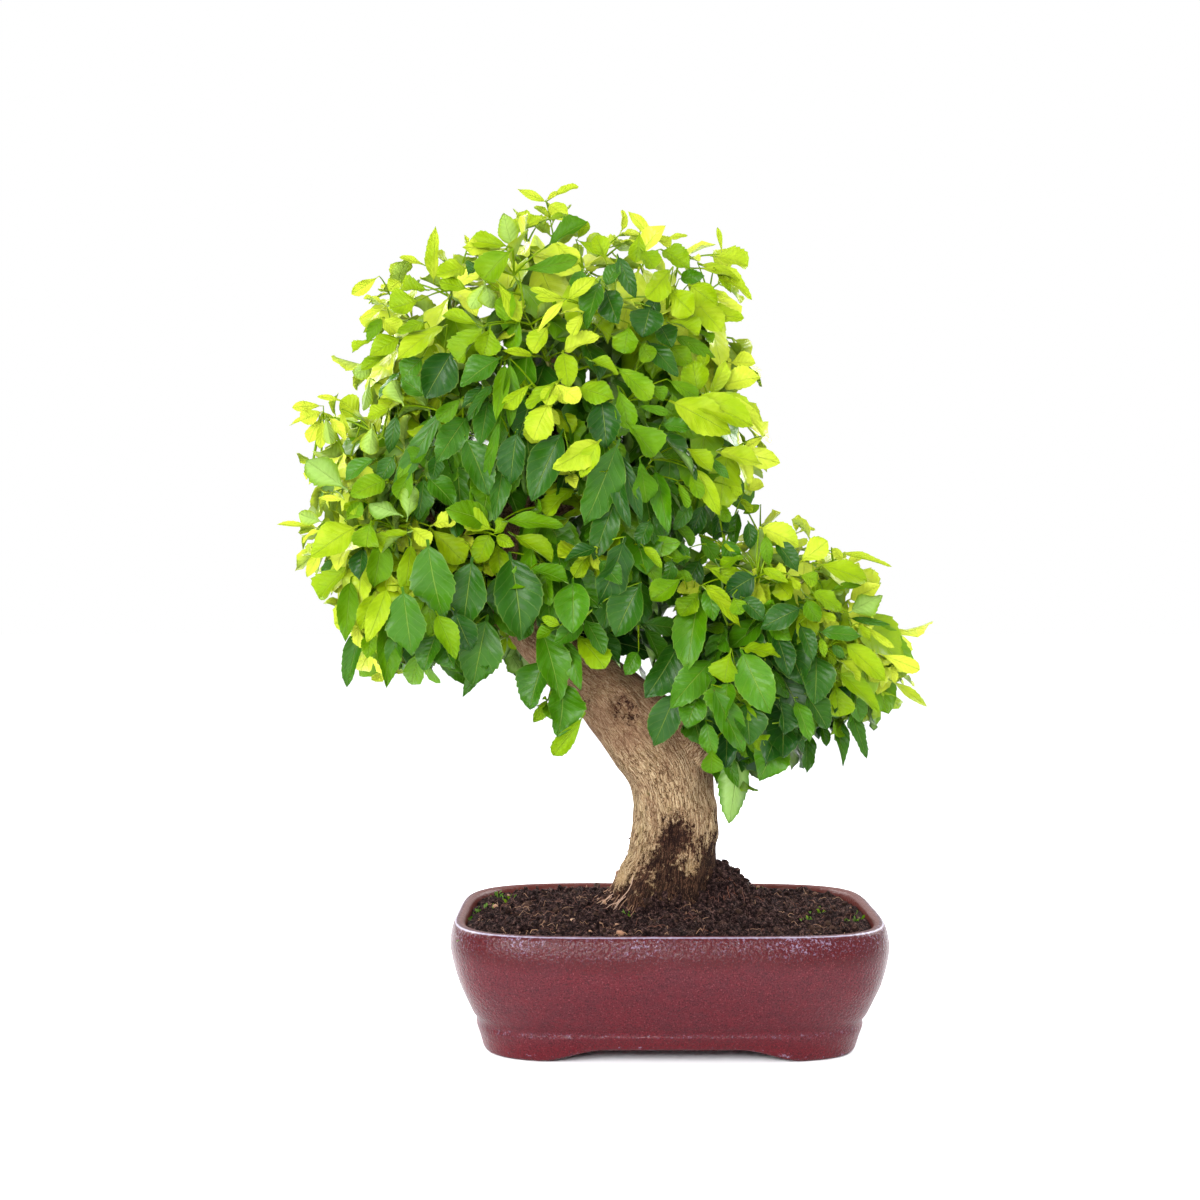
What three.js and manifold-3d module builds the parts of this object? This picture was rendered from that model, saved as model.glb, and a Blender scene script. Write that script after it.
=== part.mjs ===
// A duranta bonsai in a glazed pot. Millimetres, +Z up. The tree leans to -X and the pot's long side runs along X.
// It is drawn round the middle of the pot's foot. The last lines move it, so that the origin is under the middle of
// the whole tree's box, on the surface that the feet stand on.
import * as THREE from "three";
import { mergeVertices } from "three/addons/utils/BufferGeometryUtils.js";
import Module from "manifold-3d";

// Driving dimensions
const CLEAR = 0.35; // gap between pieces that touch in the real thing
const POT = {
  halfLength: 127,
  halfWidth: 99,
  roundness: 4.5, // exponent of the rounded rectangle
  height: 73,
  floorUnder: 9,
  floorTop: 17,
  segments: 28,
};
// The arches between the feet: half the span where they meet the ground, and where they are flat on top
const ARCH = { front: 75, side: 46, flat: 0.5, curve: 0.72, rise: 7 };
const DRAIN = { x: 55, radius: 8, sides: 12 };
const NET = { side: 27, thick: 1.4, holes: 2, hole: 8, pitch: 11 };
const SOIL = { edgeTop: 69, edge: 1.5, moundRise: 9, moundSpread: 62, rings: [0.6, 0.28] };
const RELIEF = { height: 0.9, long: [0.31, 0.27], short: [0.11, 0.17], shift: [0.6, 0.4] };
const HEAP = { x: 31, y: 4, rise: 15, spread: 12 }; // soil heaped against the trunk's right side

// What the crown is made of: mature sprays of large hanging leaves, and young shoots that stand out past them
const MATURE = {
  count: 26,
  seed: 11,
  reach: 0.84, // of its lobe's radius
  stemLength: 60,
  stemRadius: 1.8,
  nodes: [0.2, 0.46, 0.72, 0.97], // how far along the stem its leaves stand, four to a node
  leafLength: [43, 54],
  leafWidth: 0.58,
  spread: 0.95, // sideways share of a leaf's direction
  hang: 0.75, // downward share
  rise: 0.35, // upward share of the way its face looks
  // fraction of the blade's length, then half-width as a share of its width: two teeth a side
  outline: [
    [0.34, 0.42],
    [0.58, 0.5],
    [0.63, 0.41],
    [0.8, 0.29],
  ],
};
const YOUNG = {
  count: 27,
  seed: 23,
  reach: 0.98,
  stemLength: 50,
  stemRadius: 1.4,
  nodes: [0.45, 0.96],
  leafLength: [29, 40],
  leafWidth: 0.56,
  spread: 0.85,
  hang: 0.2,
  rise: 0.5,
  outline: [
    [0.4, 0.42],
    [0.68, 0.5],
    [0.74, 0.37],
  ],
};

// What leaves of both kinds share. A pair is a low and a high number, and each leaf draws its own between them.
const LEAF = {
  thick: 1.3, // at the midrib, thinning to the edge
  full: 0.45, // where along it the midrib's own point is
  lean: [0.5, 0.85], // share of its direction along the stem
  outward: 0.3, // share of its direction out of the crown
  offStem: 0.35, // share of its direction away from the stem, at least
  sideways: 0.2, // share of the way its face looks away from the stem
  vary: [0.6, 1.35], // times the kind's hang or rise
  roll: [-0.4, 0.4],
  curl: [0.05, 0.2], // how far the tip bends down, as a share of the length
  fold: [0.1, 0.45], // how far the edges rise, as a share of the half-width
  plump: [0.9, 1.1], // times the kind's width
  shrink: 0.3, // how much shorter the last leaf of a stem is
};
const PAIR_LENGTH = 2.6; // a pair of leaves takes up this much of the stem
const STEM_TAPER = 0.5; // radius at a stem's tip, as a share of its base
const TOO_NEAR = 0.4; // a leaf keeps this far from every other piece
const TURNS = [0, 0.5, -0.5]; // how far a leaf may be bent up or down to stay clear, in radians
const CROSSING = 1e-3; // cubic millimetres that count as two leaves crossing

// The crown's lobes: centre and radii along X, Y and Z, and how thickly the sprays stand on each
const LOBES = [
  { centre: [-64, 0, 424], radii: [96, 82, 60], density: 1 },
  { centre: [6, 4, 424], radii: [44, 54, 46], density: 1 },
  { centre: [-140, 2, 404], radii: [48, 56, 50], density: 1 },
  { centre: [-70, 0, 350], radii: [112, 92, 84], density: 1.3 },
  { centre: [-164, 0, 314], radii: [58, 70, 64], density: 1.15 },
  { centre: [-138, -6, 252], radii: [58, 68, 48], density: 1.35 },
  { centre: [16, 4, 352], radii: [42, 66, 56], density: 1 },
  { centre: [-46, -8, 274], radii: [60, 74, 56], density: 1.1 },
  { centre: [66, -4, 252], radii: [60, 66, 54], density: 1.35 },
  { centre: [108, -2, 226], radii: [36, 46, 40], density: 1.5 },
  { centre: [50, -12, 204], radii: [50, 56, 42], density: 1.35 },
];

// Young shoots that stand out of the crown's outline: where each one ends
const LEADERS = [
  [-70, 0, 486],
  [-22, 10, 476],
  [-126, 12, 462],
  [-166, -10, 440],
  [-200, 8, 368],
  [-208, -12, 300],
  [36, 10, 452],
  [34, -14, 390],
  [38, 16, 336],
  [106, -10, 276],
  [134, 6, 214],
  [100, -14, 190],
  [44, -20, 152],
  [-176, 10, 226],
  [-122, -24, 220],
  [-70, -36, 200],
];

// The trunk's line from under the soil to the top of the crown, and the branch on its right: x, y, z, radius
const TRUNK_LINE = [
  [2, 0, 32, 15],
  [1, 0, 58, 23],
  [0, 0, 76, 29],
  [2, 0, 90, 27.5],
  [4, 0, 108, 26],
  [5, 0, 124, 24.5],
  [3.5, 0, 140, 24],
  [0, 0, 156, 25],
  [-10, 0, 172, 25.5],
  [-24, -1, 189, 23],
  [-42, -2, 206, 19.5],
  [-61, -3, 221, 16.5],
  [-78, -3, 236, 14.5],
  [-90, -1, 252, 13],
  [-95, 2, 272, 12],
  [-92, 4, 298, 10.5],
  [-84, 3, 328, 9],
  [-76, 0, 362, 7.5],
  [-68, -2, 398, 6],
  [-62, 0, 432, 4],
];
const BRANCH_LINE = [
  [-2, 0, 150, 18],
  [10, 2, 170, 17.5],
  [24, 4, 188, 14.5],
  [42, 4, 206, 11],
  [62, 1, 222, 8.5],
  [84, -2, 234, 6.5],
  [104, -3, 242, 4.5],
];

// Limbs that carry the sprays: three points each, from inside the wood they leave to where they end
const LIMBS = [
  [[-78, -3, 236], [-116, -12, 250], [-150, -6, 266]],
  [[-95, 2, 272], [-128, 6, 300], [-164, 2, 324]],
  [[-84, 3, 328], [-108, 8, 364], [-138, 4, 396]],
  [[-92, 4, 298], [-50, 8, 322], [2, 6, 346]],
  [[-76, 0, 362], [-42, 4, 388], [0, 4, 410]],
  [[-92, 4, 298], [-86, 44, 326], [-72, 60, 366]],
  [[-88, 3, 312], [-70, -40, 338], [-62, -62, 372]],
  [[-90, -1, 252], [-64, -18, 264], [-34, -30, 280]],
  [[-95, 2, 272], [-116, 34, 276], [-128, 52, 284]],
  [[-84, 3, 328], [-44, 40, 342], [-10, 52, 352]],
  [[-88, 3, 312], [-112, -36, 318], [-134, -54, 322]],
  [[62, 1, 222], [64, -22, 242], [70, -38, 262]],
  [[62, 1, 222], [72, 26, 240], [82, 38, 258]],
];
const LIMB = { base: 5.5, end: 2.8, sides: 4, carriers: [0.4, 0.6, 0.8, 0.97] };
const ROOTS = { count: 6, flare: 0.34, body: 0.35, sharp: 0.7, from: 60, to: 112, turn: 0.5 };
const TRUNK = { sides: 14, waves: 3, wave: 0.035, carriersFrom: 11 };
const BRANCH = { sides: 8, carriersFrom: 3 };
const TWIG = {
  sides: 3,
  base: 1.9, // radius where it leaves the wood
  drop: 26, // it leaves the wood this much below where it ends
  bow: 0.16, // how far it arches up, as a share of its reach
  clear: 8, // from the wood's surface to the first of the leafy stem, at least
  gap: 0.7, // between the twig and the leafy stem that goes on from it
};
const WOOD_DETAIL = 0.15; // finer detail than this is dropped where the wood is joined

// Where sprays may end
const PLACES = {
  tried: 90, // on each lobe
  hidden: 0.97, // inside this share of another lobe
  lowest: -0.7, // steepest way down from a lobe's centre
  reach: 58, // from the wood that carries it, at least
};

const wasm = await Module();
wasm.setup();
const UP = new THREE.Vector3(0, 0, 1);
const part = new THREE.Group();

// Materials
const finish = (colour, roughness) =>
  new THREE.MeshStandardMaterial({ color: colour, roughness, metalness: 0, flatShading: true });
const MATERIALS = {
  pot: finish(0x7c1f2b, 0.25),
  soil: finish(0x2c1f1a, 0.95),
  bark: finish(0x9a7552, 0.85),
  mature: finish(0x2f7d14, 0.45),
  young: finish(0xa6d80c, 0.5),
  net: finish(0x1d1d1d, 0.7),
};

// Solids to and from geometry

const SAME_POINT = 1e-4; // points closer than this are one

function solidOf(geometry) {
  const plain = new THREE.BufferGeometry().setAttribute("position", geometry.getAttribute("position").clone());
  if (geometry.index) plain.setIndex(geometry.index.clone());
  const merged = mergeVertices(plain, SAME_POINT);
  return new wasm.Manifold(
    new wasm.Mesh({
      numProp: 3,
      vertProperties: new Float32Array(merged.attributes.position.array),
      triVerts: new Uint32Array(merged.index.array),
    }),
  );
}

function geometryOf(solid) {
  const mesh = solid.getMesh();
  return new THREE.BufferGeometry()
    .setAttribute("position", new THREE.BufferAttribute(new Float32Array(mesh.vertProperties), 3))
    .setIndex(new THREE.BufferAttribute(new Uint32Array(mesh.triVerts), 1));
}

function fromTriangles(points, triangles) {
  return new THREE.BufferGeometry()
    .setAttribute("position", new THREE.Float32BufferAttribute(points.flatMap((p) => [p.x, p.y, p.z]), 3))
    .setIndex(triangles.flat());
}

function addPiece(name, solid, material) {
  const geometry = geometryOf(solid);
  geometry.computeVertexNormals();
  const mesh = new THREE.Mesh(geometry, material);
  mesh.name = name;
  part.add(mesh);
}

// Skins rings of points, each with the same count, into a closed body with a flat face at both ends.
function skin(rings) {
  const count = rings[0].length;
  const triangles = [];
  for (let r = 0; r + 1 < rings.length; r += 1) {
    for (let i = 0; i < count; i += 1) {
      const a = r * count + i;
      const b = r * count + ((i + 1) % count);
      triangles.push([a, b, b + count], [a, b + count, a + count]);
    }
  }
  const top = (rings.length - 1) * count;
  for (let i = 1; i + 1 < count; i += 1) {
    triangles.push([0, i + 1, i], [top, top + i, top + i + 1]);
  }
  return solidOf(fromTriangles(rings.flat(), triangles));
}

// A tapered tube along points, with radius(i, angle) at each. Its frame is carried along without twisting.
function tube(line, radius, sides) {
  let side = new THREE.Vector3(1, 0, 0);
  const rings = line.map((p, i) => {
    const before = line[Math.max(i - 1, 0)];
    const after = line[Math.min(i + 1, line.length - 1)];
    const along = after.clone().sub(before).normalize();
    side = side.clone().addScaledVector(along, -side.dot(along)).normalize();
    const other = along.clone().cross(side);
    return Array.from({ length: sides }, (_, k) => {
      const angle = (2 * Math.PI * k) / sides;
      return p
        .clone()
        .addScaledVector(side, radius(i, angle) * Math.cos(angle))
        .addScaledVector(other, radius(i, angle) * Math.sin(angle));
    });
  });
  return skin(rings);
}

// Pot

const signedPower = (value, exponent) => Math.sign(value) * Math.abs(value) ** exponent;

// One level of the rounded rectangle, inset from the pot's largest outline
function potRing(inset, height) {
  return Array.from({ length: POT.segments }, (_, i) => {
    const angle = (2 * Math.PI * (i + 0.5)) / POT.segments;
    return new THREE.Vector3(
      (POT.halfLength - inset) * signedPower(Math.cos(angle), 2 / POT.roundness),
      (POT.halfWidth - inset) * signedPower(Math.sin(angle), 2 / POT.roundness),
      height,
    );
  });
}

// The wall's section as inset and height: under the floor, the foot, the waist, the bulge, the lip and the inside
const INNER_LIP = 9;
const POT_SECTION = [
  [28, POT.floorUnder],
  [27, 0],
  [18.5, 0],
  [15, 16],
  [12.6, 21],
  [8.2, 30.5],
  [4.3, 40],
  [1.4, 51],
  [0, 61],
  [0.8, 69],
  [2.6, 72.4],
  [5, POT.height],
  [8, 72],
  [INNER_LIP, 69.5],
  [10.5, 55],
  [17, 26],
  [22, POT.floorTop],
];

// Cuts an arch through the foot from one side to the other, along Y
function archCutter(halfSpan) {
  const below = -2;
  const flat = ARCH.flat * halfSpan;
  const curve = ARCH.curve * halfSpan;
  const shape = new THREE.Shape();
  shape.moveTo(-halfSpan, below);
  shape.lineTo(-halfSpan, 0);
  shape.quadraticCurveTo(-curve, ARCH.rise, -flat, ARCH.rise);
  shape.lineTo(flat, ARCH.rise);
  shape.quadraticCurveTo(curve, ARCH.rise, halfSpan, 0);
  shape.lineTo(halfSpan, below);
  const depth = 2 * POT.halfLength + 20;
  const geometry = new THREE.ExtrudeGeometry(shape, { depth, bevelEnabled: false, curveSegments: 3 });
  return geometry.translate(0, 0, -depth / 2).rotateX(Math.PI / 2);
}

function drainCutter(x) {
  const height = 20;
  const drill = new THREE.CylinderGeometry(DRAIN.radius, DRAIN.radius, height, DRAIN.sides);
  return drill.rotateX(Math.PI / 2).translate(x, 0, (POT.floorUnder + POT.floorTop) / 2);
}

function makePot() {
  const cutters = [archCutter(ARCH.front), archCutter(ARCH.side).rotateZ(Math.PI / 2)];
  cutters.push(drainCutter(DRAIN.x), drainCutter(-DRAIN.x));
  const body = skin(POT_SECTION.map(([inset, height]) => potRing(inset, height)));
  return cutters.reduce((pot, cutter) => pot.subtract(solidOf(cutter)), body);
}

// The net that keeps the soil off a drain hole
function makeDrainNet(x) {
  let net = solidOf(new THREE.BoxGeometry(NET.side, NET.side, NET.thick));
  const punch = new THREE.BoxGeometry(NET.hole, NET.hole, 2 * NET.thick);
  for (let i = 0; i < NET.holes ** 2; i += 1) {
    const column = (i % NET.holes) - (NET.holes - 1) / 2;
    const row = Math.floor(i / NET.holes) - (NET.holes - 1) / 2;
    net = net.subtract(solidOf(punch.clone().translate(column * NET.pitch, row * NET.pitch, 0)));
  }
  return net.translate([x, 0, POT.floorTop + CLEAR + NET.thick / 2]);
}

// Trunk and branches

const bezier = (a, b, c, t) =>
  a
    .clone()
    .multiplyScalar((1 - t) ** 2)
    .addScaledVector(b, 2 * t * (1 - t))
    .addScaledVector(c, t * t);

const points = (line) => line.map(([x, y, z]) => new THREE.Vector3(x, y, z));
const ease = (t) => t * t * (3 - 2 * t);
const clamp01 = (t) => Math.min(1, Math.max(0, t));

// Root flare: buttresses that rise out of the soil and die out up the trunk
function flare(height, angle) {
  const share = 1 - ease(clamp01((height - ROOTS.from) / (ROOTS.to - ROOTS.from)));
  const ridge = Math.max(0, Math.cos(ROOTS.count * angle + ROOTS.turn)) ** ROOTS.sharp;
  return 1 + ROOTS.flare * share * (ROOTS.body + (1 - ROOTS.body) * ridge);
}

// The trunk, or with grow above 0 the hole that it stands in
function trunkTube(grow) {
  const line = points(TRUNK_LINE);
  line[0].addScaledVector(UP, -2 * grow);
  const radius = (i, angle) => {
    const [, , height, plain] = TRUNK_LINE[i];
    return plain * flare(height, angle) * (1 + TRUNK.wave * Math.sin(TRUNK.waves * angle + i)) + grow;
  };
  return tube(line, radius, TRUNK.sides);
}

const limbAt = (limb, t) => bezier(...points(limb), t);
const limbRadius = (t) => LIMB.base + (LIMB.end - LIMB.base) * t;

function makeTrunk(sprays) {
  const branch = tube(points(BRANCH_LINE), (i) => BRANCH_LINE[i][3], BRANCH.sides);
  const limbs = LIMBS.map((limb) =>
    tube([0, 0.5, 1].map((t) => limbAt(limb, t)), (i) => limbRadius(i / 2), LIMB.sides),
  );
  const twigs = sprays.map(({ at, start, kind }) =>
    tube([0, start].map(at), (i) => [TWIG.base, kind.stemRadius][i], TWIG.sides),
  );
  const all = [branch, ...limbs, ...twigs].reduce((sum, wood) => sum.add(wood), trunkTube(0));
  return all.simplify(WOOD_DETAIL);
}

// Soil: a bed up to the lip, raised round the trunk, with a plain hole that the trunk's foot stands in

function soilHeight(x, y) {
  const mound = SOIL.moundRise * Math.exp(-(x * x + y * y) / SOIL.moundSpread ** 2);
  const away = ((x - HEAP.x) ** 2 + (y - HEAP.y) ** 2) / HEAP.spread ** 2;
  const [alongX, alongY] = RELIEF.long;
  const bendX = RELIEF.shift[0] * Math.sin(RELIEF.short[0] * y);
  const bendY = RELIEF.shift[1] * Math.sin(RELIEF.short[1] * x);
  const relief = RELIEF.height * Math.sin(alongX * x + bendX) * Math.cos(alongY * y - bendY);
  return SOIL.edgeTop + mound + HEAP.rise * Math.exp(-away) + relief;
}

// The soil is cut out for both drain nets as well as for the trunk.
function makeSoil() {
  const inside = POT_SECTION.slice(-3).reverse();
  const rings = inside.map(([inset, height], i) => potRing(inset + 1.5 * CLEAR, height + (i ? 0 : CLEAR)));
  rings.push(potRing(INNER_LIP + 2 * CLEAR, SOIL.edgeTop - SOIL.edge));
  const rim = potRing(INNER_LIP + SOIL.edge, SOIL.edgeTop);
  rings.push(rim);
  for (const share of SOIL.rings) {
    rings.push(rim.map(({ x, y }) => new THREE.Vector3(share * x, share * y, soilHeight(share * x, share * y))));
  }
  const side = NET.side + 2 * CLEAR;
  const netHole = new THREE.BoxGeometry(side, side, 2 * (NET.thick + 2 * CLEAR)).translate(0, 0, POT.floorTop + CLEAR);
  return [DRAIN.x, -DRAIN.x].reduce(
    (soil, x) => soil.subtract(solidOf(netHole.clone().translate(x, 0, 0))),
    skin(rings).subtract(trunkTube(CLEAR)),
  );
}

// Crown: where the sprays and shoots grow

// A seeded draw between 0 and 1
function drawFrom(seed) {
  let state = seed >>> 0;
  return () => {
    state = (state + 0x6d2b79f5) >>> 0;
    let t = state;
    t = Math.imul(t ^ (t >>> 15), t | 1);
    t ^= t + Math.imul(t ^ (t >>> 7), t | 61);
    return ((t ^ (t >>> 14)) >>> 0) / 4294967296;
  };
}
const between = (draw, low, high) => low + (high - low) * draw();

// Evenly spread directions, by the golden angle
function evenDirection(index, count) {
  const z = 1 - (2 * index + 1) / count;
  const angle = index * Math.PI * (3 - Math.sqrt(5));
  const flat = Math.sqrt(1 - z * z);
  return new THREE.Vector3(flat * Math.cos(angle), flat * Math.sin(angle), z);
}

const inLobe = (p, lobe, share) =>
  ((p.x - lobe.centre[0]) / lobe.radii[0]) ** 2 +
    ((p.y - lobe.centre[1]) / lobe.radii[1]) ** 2 +
    ((p.z - lobe.centre[2]) / lobe.radii[2]) ** 2 <
  share * share;

// The points on the wood that a twig may leave from
const carriers = [...TRUNK_LINE.slice(TRUNK.carriersFrom), ...BRANCH_LINE.slice(BRANCH.carriersFrom)].map(
  ([x, y, z, radius]) => ({ centre: new THREE.Vector3(x, y, z), radius }),
);
for (const limb of LIMBS) {
  for (const t of LIMB.carriers) carriers.push({ centre: limbAt(limb, t), radius: limbRadius(t) });
}
function carrierOf(tip) {
  const low = tip.clone().addScaledVector(UP, -TWIG.drop);
  return carriers.reduce((a, b) => (b.centre.distanceTo(low) < a.centre.distanceTo(low) ? b : a));
}

// Where a spray may end: points spread over the outside of the lobes, none of them hanging too low or too close to
// the wood that carries them
function openPlaces(kind) {
  const found = [];
  for (const lobe of LOBES) {
    for (let i = 0; i < PLACES.tried; i += 1) {
      const direction = evenDirection(i, PLACES.tried);
      const tip = new THREE.Vector3(...lobe.radii).multiply(direction).multiplyScalar(kind.reach);
      tip.add(new THREE.Vector3(...lobe.centre));
      const hidden = LOBES.some((other) => other !== lobe && inLobe(tip, other, kind.reach * PLACES.hidden));
      const far = tip.distanceTo(carrierOf(tip).centre) > PLACES.reach;
      if (!hidden && far && direction.z > PLACES.lowest) found.push({ tip, density: lobe.density });
    }
  }
  return found;
}

// Fills a kind's tips up to its count. Each new one is the open place that is furthest from every tip so far.
function addTips(kind, tips, taken) {
  const places = openPlaces(kind);
  const room = ({ tip, density }, other) => density * tip.distanceTo(other);
  const nearest = places.map((place) => Math.min(...taken.map((other) => room(place, other))));
  while (tips.length < kind.count) {
    const { tip } = places[nearest.indexOf(Math.max(...nearest))];
    tips.push(tip);
    taken.push(tip);
    places.forEach((place, i) => {
      nearest[i] = Math.min(nearest[i], room(place, tip));
    });
  }
  return tips;
}

// One spray or shoot: the curve from the wood to its tip, the leafy stem at the end of it, and its leaves
function growSpray(kind, tip, index) {
  const draw = drawFrom(kind.seed * 1000 + index);
  const { centre: from, radius } = carrierOf(tip);
  const reach = tip.distanceTo(from);
  const start = Math.max(1 - kind.stemLength / reach, (radius + TWIG.clear) / reach);
  const bend = from.clone().lerp(tip, 0.5).addScaledVector(UP, TWIG.bow * reach);
  const at = (t) => bezier(from, bend, tip, t);
  const outward = tip.clone().sub(from).normalize();
  const stem = stemOf(at, start, kind, between(draw, 0, Math.PI));
  const leaves = [];
  for (const [ring, firstFace] of stem.pairs) {
    for (const face of [firstFace, firstFace + 2]) leaves.push(growLeaf(kind, stem, ring, face, outward, draw));
  }
  return { kind, index, at, start, stem, leaves };
}

function growLeaf(kind, stem, ring, face, outward, draw) {
  const side = stem.normal(face);
  const direction = stem.along
    .clone()
    .multiplyScalar(between(draw, ...LEAF.lean))
    .addScaledVector(side, kind.spread)
    .addScaledVector(outward, LEAF.outward)
    .normalize()
    .addScaledVector(UP, -kind.hang * between(draw, ...LEAF.vary))
    .normalize();
  direction.addScaledVector(side, Math.max(0, LEAF.offStem - direction.dot(side))).normalize();
  const look = outward.clone().addScaledVector(UP, kind.rise * between(draw, ...LEAF.vary));
  look.addScaledVector(side, LEAF.sideways);
  look.addScaledVector(direction, -look.dot(direction)).normalize();
  look.applyAxisAngle(direction, between(draw, ...LEAF.roll));
  const length = between(draw, ...kind.leafLength) * (1 - LEAF.shrink * stem.shares[ring] ** 2);
  return {
    corners: stem.corners(ring, face),
    direction,
    face: look,
    length,
    width: length * kind.leafWidth * between(draw, ...LEAF.plump),
    curl: between(draw, ...LEAF.curl),
    fold: between(draw, ...LEAF.fold),
  };
}

// The four-sided stem of a spray. At each of its nodes one pair of leaves stands on two opposite faces and the next
// pair, just above, on the other two.
function stemOf(at, start, kind, turn) {
  const joints = [start, (1 + start) / 2, 1].map(at);
  const length = joints[0].distanceTo(joints[1]) + joints[1].distanceTo(joints[2]);
  const place = (share) =>
    share < 0.5
      ? joints[0].clone().lerp(joints[1], 2 * share)
      : joints[1].clone().lerp(joints[2], 2 * share - 1);
  const shares = [TWIG.gap / length];
  const pairs = [];
  for (const node of kind.nodes) {
    const first = shares.length;
    pairs.push([first, 0], [first + 1, 1]);
    [-2, -1, 0].forEach((i) => shares.push(node + (i * PAIR_LENGTH) / length));
  }
  const along = joints[2].clone().sub(joints[0]).normalize();
  const across = along.clone().cross(UP).normalize().applyAxisAngle(along, turn);
  const other = along.clone().cross(across);
  const spoke = (angle) => across.clone().multiplyScalar(Math.cos(angle)).addScaledVector(other, Math.sin(angle));
  const rings = shares.map((share) => {
    const radius = kind.stemRadius * (1 + (STEM_TAPER - 1) * share);
    return [0, 1, 2, 3].map((k) => place(share).addScaledVector(spoke((k * Math.PI) / 2), radius));
  });
  const normal = (face) => spoke(((face + 0.5) * Math.PI) / 2);
  // a face's corners between two rings, anticlockwise as seen from outside
  const corners = (ring, face) => [
    [ring, face],
    [ring, (face + 1) % 4],
    [ring + 1, (face + 1) % 4],
    [ring + 1, face],
  ];
  return { along, shares, pairs, rings, normal, corners };
}

// A leaf blade, grown out of four corners on its stem: thick along the midrib, thin at the toothed edge, bent down to
// its tip and folded up along its midrib. Both faces are split alike. The corners on the stem have the numbers -1 to -4
// in its triangles, until the leaf or the whole spray is closed.
function leafShape(leaf, outline, root) {
  const lateral = leaf.face.clone().cross(leaf.direction);
  const centre = root.reduce((sum, p) => sum.add(p), new THREE.Vector3()).divideScalar(4);
  const place = (along, half, lift) =>
    centre
      .clone()
      .addScaledVector(leaf.direction, along * leaf.length)
      .addScaledVector(lateral, half)
      .addScaledVector(leaf.face, lift - leaf.curl * leaf.length * along * along + leaf.fold * Math.abs(half));
  // which corner is the upper right one, when the tip is seen from the front
  const ports = [
    [1, 1],
    [-1, 1],
    [-1, -1],
    [1, -1],
  ].map(([x, y]) => lateral.clone().multiplyScalar(x).addScaledVector(leaf.face, y));
  const match = (turn) => ports.reduce((sum, port, i) => sum + port.dot(root[(i + turn) % 4].clone().sub(centre)), 0);
  const turn = [0, 1, 2, 3].reduce((a, b) => (match(b) > match(a) ? b : a));
  const half = (sign) => outline.map(([along, width]) => place(along, sign * width * leaf.width, 0));
  const count = outline.length;
  const left = Array.from({ length: count }, (_, i) => i);
  const right = left.map((i) => i + count);
  const [tip, upper, lower] = [2 * count, 2 * count + 1, 2 * count + 2];
  const vertices = [...half(-1), ...half(1), place(1, 0, 0)];
  vertices.push(place(LEAF.full, 0, LEAF.thick / 2), place(LEAF.full, 0, -LEAF.thick / 2));
  const [topRight, topLeft, lowLeft, lowRight] = [0, 1, 2, 3].map((i) => -1 - ((i + turn) % 4));
  const around = (a, b) => [a, b, ...left, tip, ...[...right].reverse()];
  const triangles = [
    [topRight, right[0], lowRight],
    [topLeft, lowLeft, left[0]],
  ];
  const top = around(topRight, topLeft);
  const bottom = around(lowRight, lowLeft);
  top.forEach((point, i) => {
    const next = (i + 1) % top.length;
    triangles.push([point, top[next], upper], [bottom[next], bottom[i], lower]);
  });
  return { vertices, triangles };
}

// One leaf by itself, to try where it would lie
function leafSolid(leaf, kind, stem) {
  const root = leaf.corners.map(([ring, corner]) => stem.rings[ring][corner]);
  const { vertices, triangles } = leafShape(leaf, kind.outline, root);
  const closed = [...triangles, [-1, -3, -2], [-1, -4, -3]];
  const numbered = closed.map((t) => t.map((i) => (i < 0 ? -1 - i : root.length + i)));
  return solidOf(fromTriangles([...root, ...vertices], numbered));
}

// A stem and the leaves that grow from it, as one surface
function spraySolid({ stem, kind }, leaves) {
  const vertices = stem.rings.flat();
  const open = new Set(leaves.map(({ corners }) => corners[0].join()));
  const last = 4 * (stem.rings.length - 1);
  const triangles = [
    [0, 2, 1],
    [0, 3, 2],
    [last, last + 1, last + 2],
    [last, last + 2, last + 3],
  ];
  for (let ring = 0; ring + 1 < stem.rings.length; ring += 1) {
    for (let face = 0; face < 4; face += 1) {
      if (open.has([ring, face].join())) continue;
      const [a, b, c, d] = stem.corners(ring, face).map(([r, corner]) => 4 * r + corner);
      triangles.push([a, b, c], [a, c, d]);
    }
  }
  for (const leaf of leaves) {
    const root = leaf.corners.map(([ring, corner]) => 4 * ring + corner);
    const shape = leafShape(leaf, kind.outline, root.map((i) => vertices[i]));
    const base = vertices.length;
    vertices.push(...shape.vertices);
    triangles.push(...shape.triangles.map((t) => t.map((i) => (i < 0 ? root[-1 - i] : base + i))));
  }
  return solidOf(fromTriangles(vertices, triangles));
}

// Stems first, then the leaves one by one through the whole crown. A leaf that would come too near another piece, or
// cross a leaf of its own spray, is bent up or down, and left out if that doesn't clear it.
function turned(leaf, turn) {
  const lateral = leaf.face.clone().cross(leaf.direction);
  const bent = (vector) => vector.clone().applyAxisAngle(lateral, turn);
  return { ...leaf, direction: bent(leaf.direction), face: bent(leaf.face) };
}

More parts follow.
